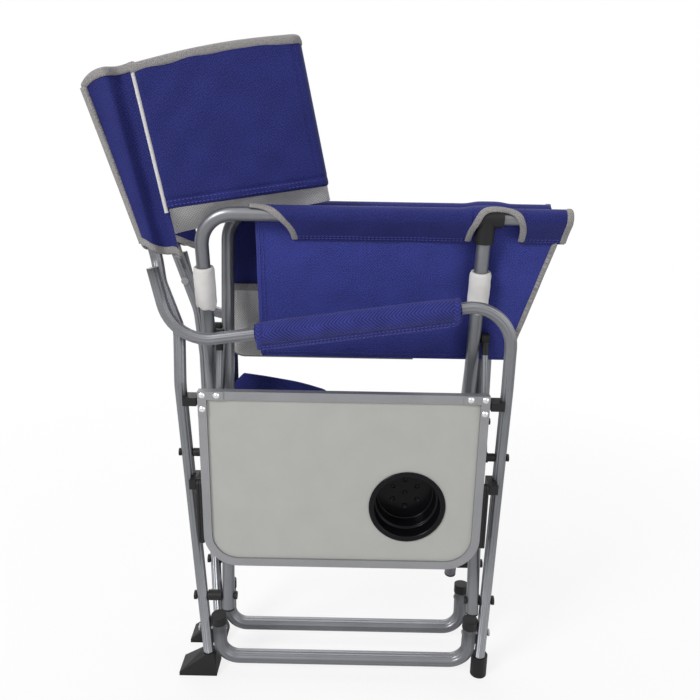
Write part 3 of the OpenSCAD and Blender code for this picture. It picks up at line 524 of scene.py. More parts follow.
# Hard surfaces, with the range of their roughness and the grain's scale per metre
THREAD = hard("blue_thread", (0.03, 0.034, 0.20), (0.055, 0.06, 0.34), (0.6, 0.8), grain=2000.0)
TUBE_GREY = hard("tube_grey", (0.172, 0.176, 0.190), (0.236, 0.241, 0.258), (0.28, 0.42),
                 metallic=0.70, grain=1400.0)
BLACK = hard("black_plastic", (0.004, 0.004, 0.005), (0.009, 0.009, 0.010), (0.42, 0.62),
             grain=1600.0, bump_m=0.00006, specular=0.35)
CUP_BLACK = hard("cup_black", (0.003, 0.003, 0.004), (0.006, 0.006, 0.008), (0.18, 0.28),
                 grain=1600.0, bump_m=0.00002, specular=0.14)
FOAM = hard("white_foam", (0.66, 0.65, 0.63), (0.80, 0.79, 0.77), (0.85, 0.95),
            grain=700.0, bump_m=0.0004, specular=0.2)
BOARD = hard("table_board", (0.385, 0.385, 0.365), (0.445, 0.445, 0.425), (0.50, 0.62),
             grain=2200.0, bump_m=0.00005)
TABLE_GREY = hard("table_frame_grey", (0.255, 0.257, 0.270), (0.335, 0.337, 0.352), (0.36, 0.50),
                  metallic=0.55, grain=1400.0)
BRIGHT = hard("bright_metal", (0.66, 0.66, 0.66), (0.82, 0.82, 0.82), (0.16, 0.30),
              metallic=1.0, grain=1200.0)

SLOT_MATERIAL = {"tube_grey": TUBE_GREY, "black_plastic": BLACK, "blue_cloth": BLUE_CLOTH,
                 "grey_mesh": GREY_NET, "white_foam": FOAM, "table_grey": TABLE_GREY,
                 "table_board": BOARD, "bright_metal": BRIGHT}
DULL_METAL = {"table_brackets", "near_rivets", "far_rivets"}


def dress_frame():
    """Every CAD node takes the material of its slot; the dull ones match the table's frame."""
    slots = {s["node"]: s["material_slot"] for s in frame["record"]["subparts"]}
    for node, obj in frame["nodes"].items():
        obj.data.materials.clear()
        obj.data.materials.append(TABLE_GREY if node in DULL_METAL else SLOT_MATERIAL[slots[node]])


def keep(piece, body, slot, *nodes):
    """A piece rides on its body and stands for the nodes that it replaces; the slot is not used."""
    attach(piece, body)
    if nodes:
        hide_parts(*nodes)


def sew(name, path, normal, body, pitch=0.0052, length=0.0036, radius=0.0007):
    """Row of stitches on a body: a small six-sided spindle of thread at each step along the path."""
    run = run_along(path)
    step, sides = 1e-4, 6
    spindle = ((-0.5, 0.35), (-0.25, 1.0), (0.25, 1.0), (0.5, 0.35))

    def walk(where):
        """Points at the given distances along the path."""
        return np.stack([np.interp(where, run, path[:, i]) for i in range(3)], -1)

    where = np.arange(pitch/2, run[-1], pitch)
    mid = walk(where)
    t = unit(walk(where + step) - walk(where - step))
    n = unit(np.broadcast_to(normal, t.shape))
    s = np.cross(t, n)
    ring = circle(radius, sides)
    rows = []
    for along, size in spindle:
        rows.append(mid[:, None] + t[:, None]*length*along
                    + (s[:, None]*ring[None, :, :1] + n[:, None]*ring[None, :, 1:])*size)
    points = np.stack(rows, 1).reshape(-1, 3)
    index = np.arange(len(points)).reshape(-1, len(spindle), sides)
    wrap = np.concatenate([index, index[:, :, :1]], 2)
    ends = np.concatenate([index[:, 0, ::-1], index[:, -1]], 0)
    faces = quads(wrap).tolist() + ends.tolist()
    keep(add_mesh(name, points, faces, THREAD), body, "blue_cloth")


def bind(name, path, across, size, body, material=GREY_TAPE):
    """Sewn tape on a body: a strip of a width and thickness along a path, its edges rounded off."""
    width, thick = size
    edge = 0.45
    across = unit(np.broadcast_to(across, path.shape))
    v = np.linspace(-0.5, 0.5, 7)
    p = path[:, None] + across[:, None]*(v*width)[None, :, None]
    uv = joined(run_along(path)[:, None], (v*width)[None])
    round_off = thick*(edge + (1 - edge)*np.sqrt(clamp(1 - (2*v)**2)))
    keep(slab(name, p, round_off, material, uv), body, "blue_cloth")


# Side frames
def leg_y(z):
    """Leg position across the chair: leaning out to the knee, upright above it."""
    return ARM_Y if z >= KNEE_Z else -HALF_GAP - (z - PIVOT_Z)*LEAN


def rear_x(z):
    """Rear leg position along the chair at a height."""
    return DATUM_X + REAR_LEG - (z - PIVOT_Z)*np.tan(REAR_RAKE)


def post_point(z, y):
    """Point on the line of the back post at a height."""
    return [POST[0] - (z - POST[2])*np.tan(POST_TILT), y, z]


def arm_point(x):
    """Point on the armrest line, x from the leg datum."""
    return [DATUM_X + x, ARM_Y, ARM_Z + x*np.tan(ARM_SLOPE)]


def frame_paths():
    """Corner points, bend radii and tube radius of the three tubes of a side frame."""
    front = DATUM_X + FRONT_LEG
    arm_back = POST[0] - DATUM_X - (ARM_Z - POST[2])*np.tan(POST_TILT)
    corner = arm_back/(1 + np.tan(ARM_SLOPE)*np.tan(POST_TILT))
    top = POST[2] + (BACK_H - POST_SHORT)*np.cos(POST_TILT)
    arm = [[front, leg_y(LEG_START), LEG_START], [front, ARM_Y, KNEE_Z],
           arm_point(FRONT_LEG), arm_point(corner), post_point(POST[2] - ARM_END_DROP, ARM_Y)]
    rear = [[rear_x(LEG_START), leg_y(LEG_START), LEG_START], [rear_x(KNEE_Z), ARM_Y, KNEE_Z],
            [rear_x(REAR_BEND_Z), UPPER_Y, REAR_BEND_Z], post_point(POST[2] - SWAY_LOW, UPPER_Y),
            post_point(POST[2] - SWAY_HIGH, -HALF_GAP), post_point(top, -HALF_GAP)]
    back = rear_x(STRETCHER_Z + STRETCHER_FIT) + LEG_R + STRETCHER_R + REAR_GAP
    fore = front - LEG_R - STRETCHER_R - FRONT_GAP
    ends = ((back, STRETCHER_TOP), (back, STRETCHER_Z), (fore, STRETCHER_Z), (fore, STRETCHER_TOP))
    rail = [[x, leg_y(z), z] for x, z in ends]
    return {"arm_tube": (arm, ARM_BENDS, LEG_R), "rear_leg": (rear, REAR_BENDS, LEG_R),
            "stretcher": (rail, RAIL_BENDS, STRETCHER_R)}


def side_frame(side):
    """Fluted tubes of one side frame in place of the plain ones."""
    for part, (corners, radii, radius) in frame_paths().items():
        centres, tangents = bent_path(mirrored(corners, side), radii)
        tube = loft(f"{part}_{side}_fluted", centres, tangents, fluted(radius), TUBE_GREY)
        keep(tube, f"{side}_frame", "tube_grey", f"{side}_{part}")


def arm_pad(side):
    """Padded sleeve: a swollen round on the armrest, drawn down into a sewn flap along its underside."""
    body = f"{side}_frame"
    rings, points = 90, 72
    s = np.linspace(0, 1, rings)
    ends = mirrored([arm_point(PAD_REAR), arm_point(PAD_FRONT)], side)
    centres = ends[0] + s[:, None]*(ends[1] - ends[0])
    tangents = np.broadcast_to(unit(ends[1] - ends[0]), centres.shape)
    a = angles(points)
    out = -1 if side == "near" else 1
    fat = PAD_END + PAD_SWELL*(1 - (2*s - 1)**PAD_END_POWER)
    size = fat[:, None]*(1 + ripple(s[:, None], a[None]/TAU, *RIPPLE["pad"]))
    wide = np.where(np.cos(a)*out > 0, PAD_OUTER, PAD_INNER)
    flap = PAD_FLAP*np.exp(-((a - 1.5*np.pi)/PAD_FLAP_WIDTH)**2)
    y = size*wide*np.cos(a) + out*PAD_FLAP_OUT*flap
    z = size*PAD_TALL*(1 + flap)*np.sin(a)
    pad = loft(f"arm_pad_{side}_sleeve", centres, tangents, joined(y, z), BLUE_RIBBED)
    keep(pad, body, "blue_cloth", f"{side}_arm_pad")
    face = out*ACROSS
    for row, drop in enumerate(PAD_SEAM_DROPS):
        inset = PAD_SEAM_SLOPE*(drop - PAD_SEAM_DROPS[0])
        seam = centres[3:-3] - drop*UP + face*(PAD_SEAM_OUT - inset)
        sew(f"arm_pad_{side}_stitches_{row}", seam, face, body)
    for name, i in (("rear", 2), ("front", -3)):
        ring = centres[i] + PAD_HEM_LOOSE*joined(0*a, y[i], z[i])
        ring = np.vstack([ring, ring[:1]])
        bind(f"arm_pad_{side}_{name}_hem", ring, tangents[0], TAPE["pad"], body, BLUE_RIBBED)


# Seat
def hang(angle, side):
    """Directions down a strip and out of it, for its angle from hanging."""
    s, c = np.sin(angle), np.cos(angle)
    return mirrored([0, s, -c], side), mirrored([0, c, s], side)


def seat_axes(side):
    """Rail point, direction down the cloth and direction towards the sitter for one seat half."""
    return mirrored([DATUM_X, RAIL[1], RAIL[2]], side), *hang(SEAT_HANG, side)


def seat_surface(x, q, side):
    """Points of the seat cloth: it bulges towards the sitter at the front leg and curls in at the hem."""
    origin, down, inner = seat_axes(side)
    leg = np.exp(-((x - FRONT_TUBE[side])/BULGE_HALF)**2)*clamp((q - BULGE_FROM)/BULGE_RUN)
    hem = clamp((q - SEAT_LEN)/HEM_REACH + 1)**2
    uneven = ripple(x/SEAT_SPAN[0], q/SEAT_SPAN[1], *RIPPLE["seat"])
    n = SEAT_OFFSET + HEM_CURL*hem + (1 - hem)*(LEG_BULGE*leg + uneven)
    return origin + x[..., None]*ALONG + q[..., None]*down + n[..., None]*inner


def seat_half(side):
    """One half of the seat: cloth, rail sleeve, bindings and stitching."""
    body, foot = f"seat_{side}", SEAT_LEN - HEM_GAP
    u, v = shares(150, 70)
    q = SEAT_TOP + (foot - SEAT_TOP)*v
    x = SEAT_REAR + (SEAT_FRONT - FRONT_SLANT*clamp(q/SEAT_LEN) - SEAT_REAR)*u
    thick = SEAT_THICK*edge_taper(u, v, *SEAT_TAPER, SEAT_SOFT)
    p, thick, uv = turned(side == "far", seat_surface(x, q, side), thick, joined(x, q))
    sheet = slab(f"seat_cloth_{side}", p, thick, BLUE_SEAT_LIT, uv)
    keep(sheet, body, "blue_cloth", f"seat_panel_{side}", f"seat_flap_{side}")
    origin, down, inner = seat_axes(side)
    qs = np.linspace(SEAT_TOP + EDGE_IN, foot, 50)
    edge = seat_surface(SEAT_FRONT - FRONT_SLANT*qs/SEAT_LEN, qs, side)
    bind(f"seat_front_binding_{side}", edge, inner + 0.5*ALONG, TAPE["seat"], body)
    for row, inset in enumerate(REAR_ROWS):
        line = seat_surface(np.full_like(qs, SEAT_REAR + inset), qs, side) - inner*SEAM_LIFT
        sew(f"seat_rear_stitches_{side}_{row}", line, -inner, body)
    xs = np.linspace(SEAT_REAR + HEM_ROW_ENDS[0], SEAT_FOOT - HEM_ROW_ENDS[1], 120)
    line = seat_surface(xs, np.full_like(xs, SEAT_LEN - HEM_ROW), side) - inner*SEAM_LIFT
    sew(f"seat_hem_stitches_{side}", line, -inner, body)
    ends = np.linspace(SEAT_REAR + EDGE_IN, SEAT_FOOT - EDGE_IN, 60)
    hem = origin + ends[:, None]*ALONG + SEAT_LEN*down + (SEAT_OFFSET + HEM_CURL)*inner
    way = np.broadcast_to(ALONG, hem.shape)
    keep(loft(f"seat_hem_{side}", hem, way, circle(BEAD_R), BLUE_SEAT_LIT), body, "blue_cloth")
    rail_sleeve(side)
    seat_middle(side)


def sleeve_point(x, w, side):
    """Point of the rail sleeve: w runs from the sitter's side over the rail and straight down to the hem."""
    origin, down, inner = seat_axes(side)
    r = RAIL_R + SLEEVE_SKIN + ELBOW_SWELL*np.exp(-((x - FRONT_TUBE[side])/ELBOW_SWELL_HALF)**4)
    tip = np.array([SEAT_OFFSET - SLEEVE_TIP, SLEEVE_HEM])
    wrap = TAU - np.arctan2(tip[1], tip[0]) - np.arccos(r/np.hypot(*tip))
    a = -clamp(w/SLEEVE_BEND)*wrap
    s = clamp((w - SLEEVE_BEND)/(1 - SLEEVE_BEND))
    n = r*np.cos(a)*(1 - s) + tip[0]*s - SLEEVE_WAVE*np.sin(np.pi*s)*np.sin(x*SLEEVE_WAVE_RATE)
    q = r*np.sin(a)*(1 - s) + tip[1]*s
    return origin + x[..., None]*ALONG + n[..., None]*inner + q[..., None]*down


def sleeve_edge(x, side):
    """Lower edge of the sleeve: a hem with a quarter arch cut at the rear and a horseshoe at the elbow."""
    s = clamp((x - SLEEVE_REAR)/REAR_CUT)
    rear = REAR_CUT_TOP + (1 - REAR_CUT_TOP)*(1 - np.sqrt(1 - s**2))
    c = clamp(np.abs(x - FRONT_TUBE[side] - ELBOW_CUT_SHIFT)/ELBOW_CUT)
    steep, full = ELBOW_CUT_POWERS
    elbow = ELBOW_CUT_TOP + (1 - ELBOW_CUT_TOP)*(1 - (1 - c**steep)**full)
    return np.minimum(rear, elbow)


def sleeve_binding(name, x, w, side):
    """Tape along an edge of the sleeve, lying in the sleeve's own surface."""
    step_x, step_w = 1e-4, 0.01
    p = sleeve_point(x, w, side)
    normal = unit(np.cross(sleeve_point(x + step_x, w, side) - p, sleeve_point(x, w + step_w, side) - p))
    across = np.cross(unit(np.gradient(p, axis=0)), normal)
    bind(name, p, across, TAPE["sleeve"], f"seat_{side}")


def rail_sleeve(side):
    """Sleeve of the seat cloth over its rail, open round the elbow, with bound cuts and a stitched hem."""
    body, centre = f"seat_{side}", FRONT_TUBE[side] + ELBOW_CUT_SHIFT
    u, v = shares(280, 40)
    x = SLEEVE_REAR + SLEEVE_REAR_IN + (SEAT_FRONT + SLEEVE_OVER - SLEEVE_REAR)*u
    w = sleeve_edge(x, side)*v
    p, uv = turned(side == "near", sleeve_point(x, w, side), joined(x, w*SLEEVE_GIRTH))
    sheet = slab(f"seat_sleeve_{side}", p, THIN_CLOTH, BLUE_CLOTH, uv)
    keep(sheet, body, "blue_cloth", "seat_sleeve_b" if side == "near" else "seat_sleeve_a")
    cuts = {"rear": SLEEVE_REAR + REAR_CUT*np.sin(np.linspace(REAR_TAPE_FROM, 1, 40)*np.pi/2),
            "elbow": centre - ELBOW_CUT*ELBOW_TAPE_IN*np.cos(np.linspace(0, np.pi, 120))}
    for name, line in cuts.items():
        sleeve_binding(f"sleeve_{name}_binding_{side}", line, sleeve_edge(line, side), side)
    front = np.linspace(FRONT_TAPE_FROM, 1, 30)
    front_x = np.full_like(front, SEAT_FRONT - FRONT_TAPE_IN)
    sleeve_binding(f"sleeve_front_binding_{side}", front_x, front, side)
    inner = seat_axes(side)[2]
    spans = {"main": (SLEEVE_REAR + REAR_CUT + ROW_GAP, centre - ELBOW_CUT - ROW_GAP),
             "front": (centre + ELBOW_CUT + ROW_GAP, SEAT_FRONT - FRONT_ROW_IN)}
    for name, span in spans.items():
        xs = np.linspace(*span, 80)
        for row, w_row in enumerate(SLEEVE_ROWS):
            line = sleeve_point(xs, np.full_like(xs, w_row), side) - inner*SLEEVE_LIFT
            sew(f"sleeve_stitches_{side}_{name}_{row}", line, -inner, body)


def seat_middle(side):
    """Middle of the seat, tucked up between the halves: a thin folded strip."""
    hinge = mirrored(at("seat_near_tuck"), side)
    way, out = hang(SEAT_TUCK, side)
    gap, hem_gap, lift = 0.0002, 0.0004, 0.001
    length = BACK_RUN - SEAT_LEN - gap
    u, v = shares(80, 16)
    x = SEAT_REAR + (SEAT_FOOT - SEAT_REAR)*u
    q = hem_gap + length*v
    base = np.array([DATUM_X, hinge[1], hinge[2]])
    p = base + x[..., None]*ALONG + q[..., None]*way - out*lift
    p, uv = turned(side == "far", p, joined(x, q))
    strip = slab(f"seat_tuck_{side}", p, THIN_CLOTH, BLUE_SEAT_LIT, uv)
    keep(strip, f"seat_mid_{side}", "blue_cloth", f"seat_middle_{side}")


# Back
def back_axes(side):
    """Post point and the directions along the back, away from the sitter, and up the post."""
    fore = np.cos(POST_TILT)*ALONG + np.sin(POST_TILT)*UP
    t = np.cos(BACK_FOLD)*fore + np.sin(BACK_FOLD)*ACROSS
    m = -np.sin(BACK_FOLD)*fore + np.cos(BACK_FOLD)*ACROSS
    return mirrored(POST, side), mirrored(t, side), mirrored(m, side), POST_AXIS


def back_point(side, t, m, h):
    """Point of the back at a distance along it, off it and up it."""
    origin, along, off, up = back_axes(side)
    t, m, h = np.broadcast_arrays(t, m, h)
    return origin + t[..., None]*along + m[..., None]*off + h[..., None]*up


def back_low(t):
    """Lower edge of the back panel, just over the seat rail from the piped seam to the crease."""
    start, reach, high, fall = 0.044, 0.206, 0.050, 0.012
    return high - fall*clamp((t - start)/reach)


def piped_seam(h):
    """Distance along the back of the piped seam beside the sleeve, almost in line with the post."""
    foot, flare = 0.030, 0.0045
    return foot + flare*h/BACK_H


def back_line(share, start):
    """Run of the back cloth: flat to the crease, then a quarter round into the fold."""
    flat = BACK_RUN - CREASE_GAP - BACK_NOSE - start
    run = share*(flat + BACK_NOSE*np.pi/2)
    a = np.clip((run - flat)/BACK_NOSE, 0, np.pi/2)
    t = start + np.minimum(run, flat) + BACK_NOSE*np.sin(a)
    m = -BACK_OFFSET + BACK_NOSE*(1 - np.cos(a))
    return t, m, run


def back_top(share):
    """Upper edge of the back: a shallow arch from the piped seam to the crease."""
    return BACK_H + BACK_ARCH*np.sin(np.pi*share)


def back_half(side):
    """One half of the back: padded panel with sunk seams, a net under it, bindings and stitching."""
    body = f"back_{side}"
    u, v = shares(120, 90)
    t, m, run = back_line(u, piped_seam(BACK_FOOT + (BACK_H - BACK_FOOT)*v))
    low = back_low(t)
    h = low + (back_top(u) - low)*v
    off_seams = (h - low - HEM_SEAM, (1 - u)*BACK_RUN - CREASE_SEAM)
    seam = sum(np.exp(-(off/SEAM_HALF)**2) for off in off_seams)
    seam = clamp(seam)*clamp(1 - u**SEAM_FADE)
    flat = clamp(1 - u**CREASE_FADE)
    puff = np.sqrt(clamp(np.sin(np.pi*u)*np.sin(np.pi*v)))
    m = m + flat*(ripple(u, v, *RIPPLE["back"]) - BACK_PUFF*puff + SEAM_DEPTH*seam)
    thick = BACK_THICK*edge_taper(u, v, *BACK_TAPER, BACK_SOFT)*(1 - SEAM_THIN*seam)
    p, thick, uv = turned(side == "near", back_point(side, t, m, h), thick, joined(run, h))
    panel = slab(f"back_cloth_{side}", p, thick, BLUE_CLOTH, uv)
    keep(panel, body, "blue_cloth", f"back_panel_{side}")
    back_net(side, body)
    share = np.linspace(0, 1, 90)
    t, m, _ = back_line(share, piped_seam(BACK_H) - BACK_TAPE_REAR)
    top_line = back_point(side, t, m - BACK_TAPE_OFF, back_top(share) - BACK_TAPE_DROP)
    bind(f"back_top_binding_{side}", top_line, POST_AXIS, TAPE["back"], body)
    t, m, _ = back_line(share, piped_seam(BACK_FOOT))
    off = back_axes(side)[2]
    for row, rise in enumerate(BACK_ROWS):
        line = back_point(side, t, m - BACK_ROW_LIFT, back_low(t) + rise)
        sew(f"back_hem_stitches_{side}_{row}", line[:-BACK_ROW_SKIP], -off, body)


def back_net(side, body):
    """Net under the panel: it falls away behind the seat rail, most beside the post."""
    lap, tuck, fall, less_fall, behind, away, thick = 0.006, 0.002, 0.040, 0.014, 0.0022, 0.034, 0.0016
    u, v = shares(120, 24)
    t, m, run = back_line(u, piped_seam(BACK_FOOT) - tuck)
    drop = 1 - v
    h = back_low(t) + lap - drop*(fall - less_fall*u)
    m = m + behind*clamp(1 - u**CREASE_FADE) + away*drop**0.8*np.sqrt(1 - u)
    p, uv = turned(side == "near", back_point(side, t, m, h), joined(run, h))
    keep(slab(f"back_net_{side}", p, thick, GREY_NET, uv), body, "grey_mesh")


def pocket_front(t):
    """Depth ahead of the post: full round the post, thin beyond it and fuller again at the piped seam."""
    thin, full, full_half, seam, seam_from, seam_reach = 0.0012, 0.0110, 0.008, 0.0050, 0.018, 0.014
    return thin + full*np.exp(-(t/full_half)**2) + seam*clamp((t - seam_from)/seam_reach)**2


def post_sleeve(side):
    """Pocket over the back post: a flat tube that swells round the post and leans out to the piped seam."""
    body = "back_near" if side == "near" else "back_sleeve"
    rings, points = 70, 110
    h = np.linspace(0, 1, rings)[:, None]
    a = angles(points)[None]
    rear, fore = POCKET_REAR + POCKET_FLARE*h, piped_seam(h*BACK_H) + POCKET_LAP
    layers = []
    for inset in (0.0, POCKET_WALL):
        t = (fore - rear)/2 + ((fore + rear)/2 - inset)*np.cos(a)
        around = POCKET_DEEP + POCKET_SWELL*np.exp(-(t/POCKET_SWELL_HALF)**2)
        deep = np.where((np.sin(a) > 0) & (t > 0), pocket_front(t), around)
        off = -np.sign(np.sin(a))*np.maximum(deep*np.sqrt(np.abs(np.sin(a))) - inset, POCKET_LEAST)
        lean = clamp((t - POCKET_LEAN_FROM)/(fore - POCKET_LEAN_FROM))**2
        off = off - POCKET_LEAN*lean + ripple(h, a/TAU, *RIPPLE["pocket"])
        foot = POCKET_FOOT - POCKET_SLANT*t + POCKET_SAG*np.sin(a*3)
        top = BACK_H - POCKET_ROUND*clamp(-t/rear)**3
        layers.append(back_point(side, t, off, foot + (top - foot)*h))
    p, faces = hollow(layers)
    faces = faces if side == "near" else faces[:, ::-1]
    rows = np.concatenate([h, h[::-1]], 0)*BACK_H
    uv = joined(POCKET_GIRTH*(1 - np.cos(a/2)), rows).reshape(-1, 2)
    tube = add_mesh(f"post_sleeve_{side}", p, faces.tolist(), BLUE_CLOTH, uv)
    keep(tube, body, "blue_cloth", f"back_sleeve_{side}")
    _, along, away, up = back_axes(side)
    for name, row in (("foot", 0), ("top", -1)):
        line = np.vstack([layers[0][row], layers[0][row, :1]])
        bind(f"post_sleeve_{name}_binding_{side}", line, up, TAPE["pocket"], body)
    rear_edge = layers[0][:, points//2]
    bind(f"post_sleeve_edge_binding_{side}", rear_edge, away - along, TAPE["pocket_edge"], body)
    hs = np.linspace(PIPE_FOOT, BACK_H + PIPE_PROUD, 60)
    pipe = back_point(side, piped_seam(hs) - PIPE_IN, -PIPE_OFF, hs)
    way = np.broadcast_to(unit(pipe[-1] - pipe[0]), pipe.shape)
    keep(loft(f"back_piping_{side}", pipe, way, circle(BEAD_R), PALE_TAPE), body, "blue_cloth")


# Pouch on the far seat rail
def pouch():
    """Hanging pouch: a sheet with a net pocket, a grey band across its mouth and a strap to a slack fold."""
    low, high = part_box("pouch_sheet")
    p_low, p_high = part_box("pouch_pocket")
    foot, mouth = p_low[2], p_high[2]
    y = high[1] - POUCH_IN
    u, v = shares(90, 90)
    x = low[0] + (high[0] - low[0])*u
    z = foot + (high[2] - foot)*v
    p = joined(x, y + ripple(u, v, *RIPPLE["pouch"])*(1 - v**4), z)
    sheet = slab("pouch_cloth", p[::-1], THIN_CLOTH, BLUE_CLOTH, joined(x, z)[::-1])
    keep(sheet, "pouch", "blue_cloth", "pouch_sheet")
    round_off = NET_CORNER*(1 - np.sqrt(clamp(1 - (1 - clamp(u*12))**2)))
    z = foot + round_off + (mouth - foot - round_off)*v
    belly = np.sin(np.pi*u)**0.4*(NET_BELLY - NET_MOUTH_IN*v)
    p = joined(x, y - NET_GAP - belly*clamp(v*8)**0.5, z)
    pocket = slab("pouch_net_pocket", p[::-1], NET_THICK, GREY_NET, joined(x, z)[::-1])
    keep(pocket, "pouch", "grey_mesh", "pouch_pocket")
    bind("pouch_mouth_band", p[:, -1] - UP*MOUTH_IN, UP, TAPE["mouth"], "pouch")
    bind("pouch_foot_band", p[:, 0] + UP*FOOT_IN, UP, TAPE["foot"], "pouch")
    strap_z = np.linspace(low[2] + STRAP_FROM, foot + STRAP_LAP, 20)
    strap = joined(low[0] + STRAP_IN, y, strap_z)
    # The strap's dark blue is painted shade of the pouch's rear side
    bind("pouch_strap", strap, ALONG, TAPE["strap"], "pouch", SHADED_BLUE_CLOTH)
    slack_fold(low, y)


def slack_fold(low, y):
    """Slack cloth on the strap: a soft fold, steep at the strap and falling away along its length."""
    crest, soft, off = 0.14, 0.010, 0.0030
    u, v = shares(90, 30)
    rise, fall = clamp(u/crest)**0.6, clamp((1 - u)/(1 - crest))**0.5
    x, z = low[0] + SLACK_LEN*u, low[2] + (SLACK_TIP + (SLACK_H - SLACK_TIP)*rise*fall)*v
    thick = SLACK_THICK*edge_taper(u, v, SLACK_LEN, SLACK_H, soft)
    p = joined(x, y - off + ripple(u, v, *RIPPLE["slack"]), z)
    fold = slab("pouch_slack_fold", p[::-1], thick[::-1], BLUE_CLOTH, joined(x, z)[::-1])
    keep(fold, "pouch", "blue_cloth")


# Foam sleeves and cup holder
def foam(name, x):
    """Foam sleeve on a seat leg: a thick tube with an uneven torn lower edge."""
    way = unit(np.array([0, -HALF_GAP*2, RAIL[2] - PIVOT_Z]))
    side = np.cross(way, ALONG)
    foot = np.array([DATUM_X + x, HALF_GAP, PIVOT_Z])
    s = np.linspace(0, 1, 26)[:, None]
    a = angles(48)[None]
    torn = FOAM_RAGGED[0]*np.sin(2*a) + FOAM_RAGGED[1]*np.sin(5*a + 1)
    along = FOAM_FOOT + FOAM_TORN + torn*(1 - s)**2 + (FOAM_H - FOAM_TORN)*s
    r = FOAM_R*(1 - FOAM_END_IN*np.abs(2*s - 1)**FOAM_END_POWER) + ripple(s, a/TAU, *RIPPLE["foam"])
    layers = []
    for radius in (r, RAIL_R + FOAM_GAP):
        ring = (radius*np.cos(a))[..., None]*ALONG + (radius*np.sin(a))[..., None]*side
        layers.append(foot + along[..., None]*way + ring)
    p, faces = hollow(layers)
    piece = add_mesh(name, p, faces.tolist(), FOAM)
    keep(piece, "scissor_b", "white_foam", "foam_sleeves")


def cup():
    """Cup holder: a stepped profile turned about the table's normal, its floor dipping at each drain mark."""
    turns, floor_rings = 288, 62
    a = angles(turns)[None]
    low_r, well_r, ledge, top, skin = CUP_FLOOR_R, CUP_WELL_R, CUP_DEPTH/2, CUP_DEPTH, CUP_SKIN
    floor_r = np.linspace(CUP_EYE, low_r - 0.0015, floor_rings)
    # Up the wall, over the ledge and the rim, and back down outside, with small steps to round each corner
    wall = np.array([[low_r - 0.0005, 0.0003], [low_r, 0.0012], [low_r + 0.0003, ledge - 0.0013],
                     [low_r + 0.0007, ledge - 0.0004], [low_r + 0.0016, ledge], [well_r - 0.0016, ledge],
                     [well_r - 0.0007, ledge + 0.0004], [well_r - 0.0002, ledge + 0.0013],
                     [well_r, top - 0.0018], [well_r + 0.0006, top - 0.0006], [well_r + 0.0018, top],
                     [CUP_R - 0.0014, top], [CUP_R - 0.0004, top - 0.0005], [CUP_R, top - 0.0014],
                     [CUP_R, top - skin], [well_r + skin, top - skin], [well_r + skin, ledge - skin],
                     [low_r + skin, ledge - skin], [low_r + skin, -skin], [CUP_EYE, -skin]])
    profile = np.vstack([joined(floor_r, 0), wall])
    r = profile[:, :1]
    marks = np.arange(CUP_MARKS)*TAU/CUP_MARKS + TAU/(2*CUP_MARKS)
    mark_x = np.append(0, CUP_MARK_RING*np.cos(marks))[:, None, None]
    mark_z = np.append(0, CUP_MARK_RING*np.sin(marks))[:, None, None]
    near = np.hypot(r*np.cos(a) - mark_x, r*np.sin(a) - mark_z).min(0)
    dip = CUP_MARK_DEPTH*clamp((CUP_MARK_R - near)/CUP_MARK_EDGE + 0.5)
    dip[floor_rings:] = 0
    out = profile[:, 1:] - dip + CUP_OUT - CUP_DEPTH
    points = joined(CUP[0] + r*np.cos(a), CUP[1] - out, CUP[2] + r*np.sin(a))
    index, closed = numbered(points)
    faces = quads(closed).tolist() + [index[0].tolist(), index[-1][::-1].tolist()]
    piece = add_mesh("cup_holder_shell", points.reshape(-1, 3), faces, CUP_BLACK)
    keep(piece, "table", "black_plastic", "cup_holder")


# Studio
def blend(tree, share, first, second, output):
    """Two shaders mixed by a share and sent to the output node."""
    mix = tree.nodes.new("ShaderNodeMixShader")
    for source, socket in zip((share, first.outputs[0], second.outputs[0]), mix.inputs):
        tree.links.new(source, socket)
    feed(tree, tree.nodes[output], {"Surface": mix.outputs[0]})


def pale_floor():
    """Floor that takes shadows round the chair and turns white for the camera further off."""
    size, near, far, near_share = 6.0, 0.45, 1.5, 0.80
    corners = size*np.array([[-1, -1, 0], [1, -1, 0], [1, 1, 0], [-1, 1, 0]], float)
    mat = bpy.data.materials.new("pale_floor")
    mat.use_nodes = True
    tree = mat.node_tree
    shader = tree.nodes["Principled BSDF"]
    set_inputs(shader, {"Base Color": rgba(0.86, 0.86, 0.86), "Roughness": 0.9})
    glow = tree.nodes.new("ShaderNodeEmission")
    set_inputs(glow, {"Strength": 1.0})
    place = tree.nodes.new("ShaderNodeTexCoord")
    away = tree.nodes.new("ShaderNodeVectorMath")
    away.operation = "LENGTH"
    tree.links.new(place.outputs["Object"], away.inputs[0])
    fade = tree.nodes.new("ShaderNodeMapRange")
    for socket, value in zip(fade.inputs[1:5], (near, far, near_share, 1.0)):
        socket.default_value = value
    tree.links.new(away.outputs["Value"], fade.inputs[0])
    path = tree.nodes.new("ShaderNodeLightPath")
    share = math_node(tree, "MULTIPLY", path.outputs["Is Camera Ray"], fade.outputs[0])
    blend(tree, share, shader, glow, "Material Output")
    floor = add_mesh("floor", corners, [[0, 1, 2, 3]], mat)


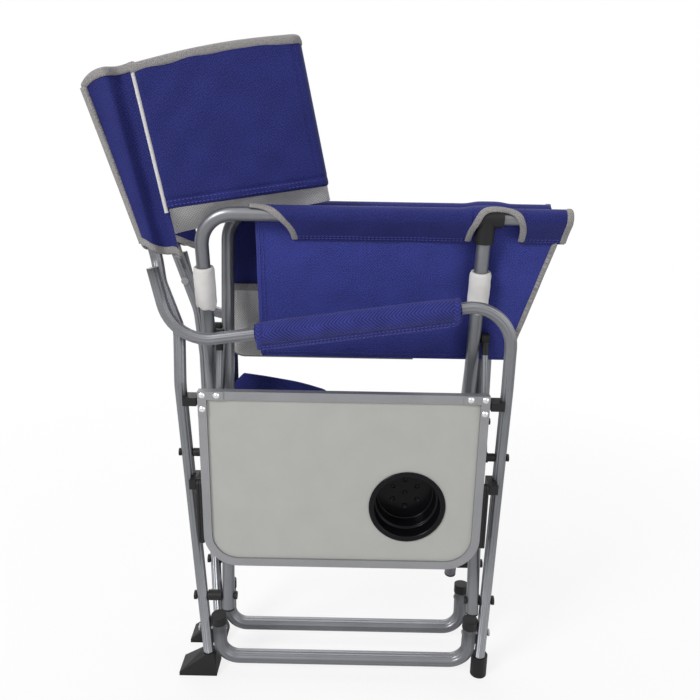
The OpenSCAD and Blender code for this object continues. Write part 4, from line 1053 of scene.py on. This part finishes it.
def surround():
    """Surround that is white for the camera and in reflections, and dimmer as a light."""
    world = bpy.data.worlds.new("surround")
    bpy.context.scene.world = world
    world.use_nodes = True
    tree = world.node_tree
    dim, white = tree.nodes["Background"], tree.nodes.new("ShaderNodeBackground")
    for node, strength in ((dim, 0.30), (white, 1.0)):
        set_inputs(node, {"Color": rgba(1, 1, 1), "Strength": strength})
    path = tree.nodes.new("ShaderNodeLightPath")
    seen = math_node(tree, "MAXIMUM", path.outputs["Is Camera Ray"], path.outputs["Is Glossy Ray"])
    seen = math_node(tree, "MAXIMUM", seen, path.outputs["Is Transmission Ray"])
    blend(tree, seen, dim, white, "World Output")


def stand(data, place, axes):
    """Object for a lamp or a camera at a place, turned to the given axes."""
    obj = bpy.data.objects.new(data.name, data)
    bpy.context.scene.collection.objects.link(obj)
    obj.matrix_world = Matrix.Translation(place) @ Matrix(np.stack(axes, 1).tolist()).to_4x4()
    return obj


def lamps():
    """Soft square lamps, each turned to the middle of the chair."""
    for name, (place, span, power) in LAMPS.items():
        data = bpy.data.lights.new(f"{name}_lamp", "AREA")
        data.size = span
        data.energy = power
        look = unit(np.array(place) - LAMPS_AIM)
        right = unit(np.cross(UP, look))
        stand(data, place, [right, np.cross(look, right), look])


def camera():
    """Camera at the photograph's place, looking a little down and rolled a little."""
    right = np.array([np.cos(YAW), np.sin(YAW), 0])
    ahead = np.array([-np.sin(YAW), np.cos(YAW), 0])
    look = ahead*np.cos(PITCH) - UP*np.sin(PITCH)
    up = ahead*np.sin(PITCH) + UP*np.cos(PITCH)
    rolled_right = np.cos(ROLL)*right + np.sin(ROLL)*up
    rolled_up = np.cos(ROLL)*up - np.sin(ROLL)*right
    data = bpy.data.cameras.new("camera")
    data.sensor_width = SENSOR_MM
    data.lens = SENSOR_MM*FOCAL_PX/FRAME_PX
    data.clip_start = 0.01
    bpy.context.scene.camera = stand(data, CAMERA.tolist(), [rolled_right, rolled_up, -look])


camera()
pale_floor()
surround()
lamps()
bpy.context.scene.view_settings.view_transform = "Standard"
dress_frame()
for side in ("near", "far"):
    side_frame(side)
    arm_pad(side)
    seat_half(side)
    back_half(side)
    post_sleeve(side)
pouch()
for name, x in FOAM_AT.items():
    foam(name, x)
cup()
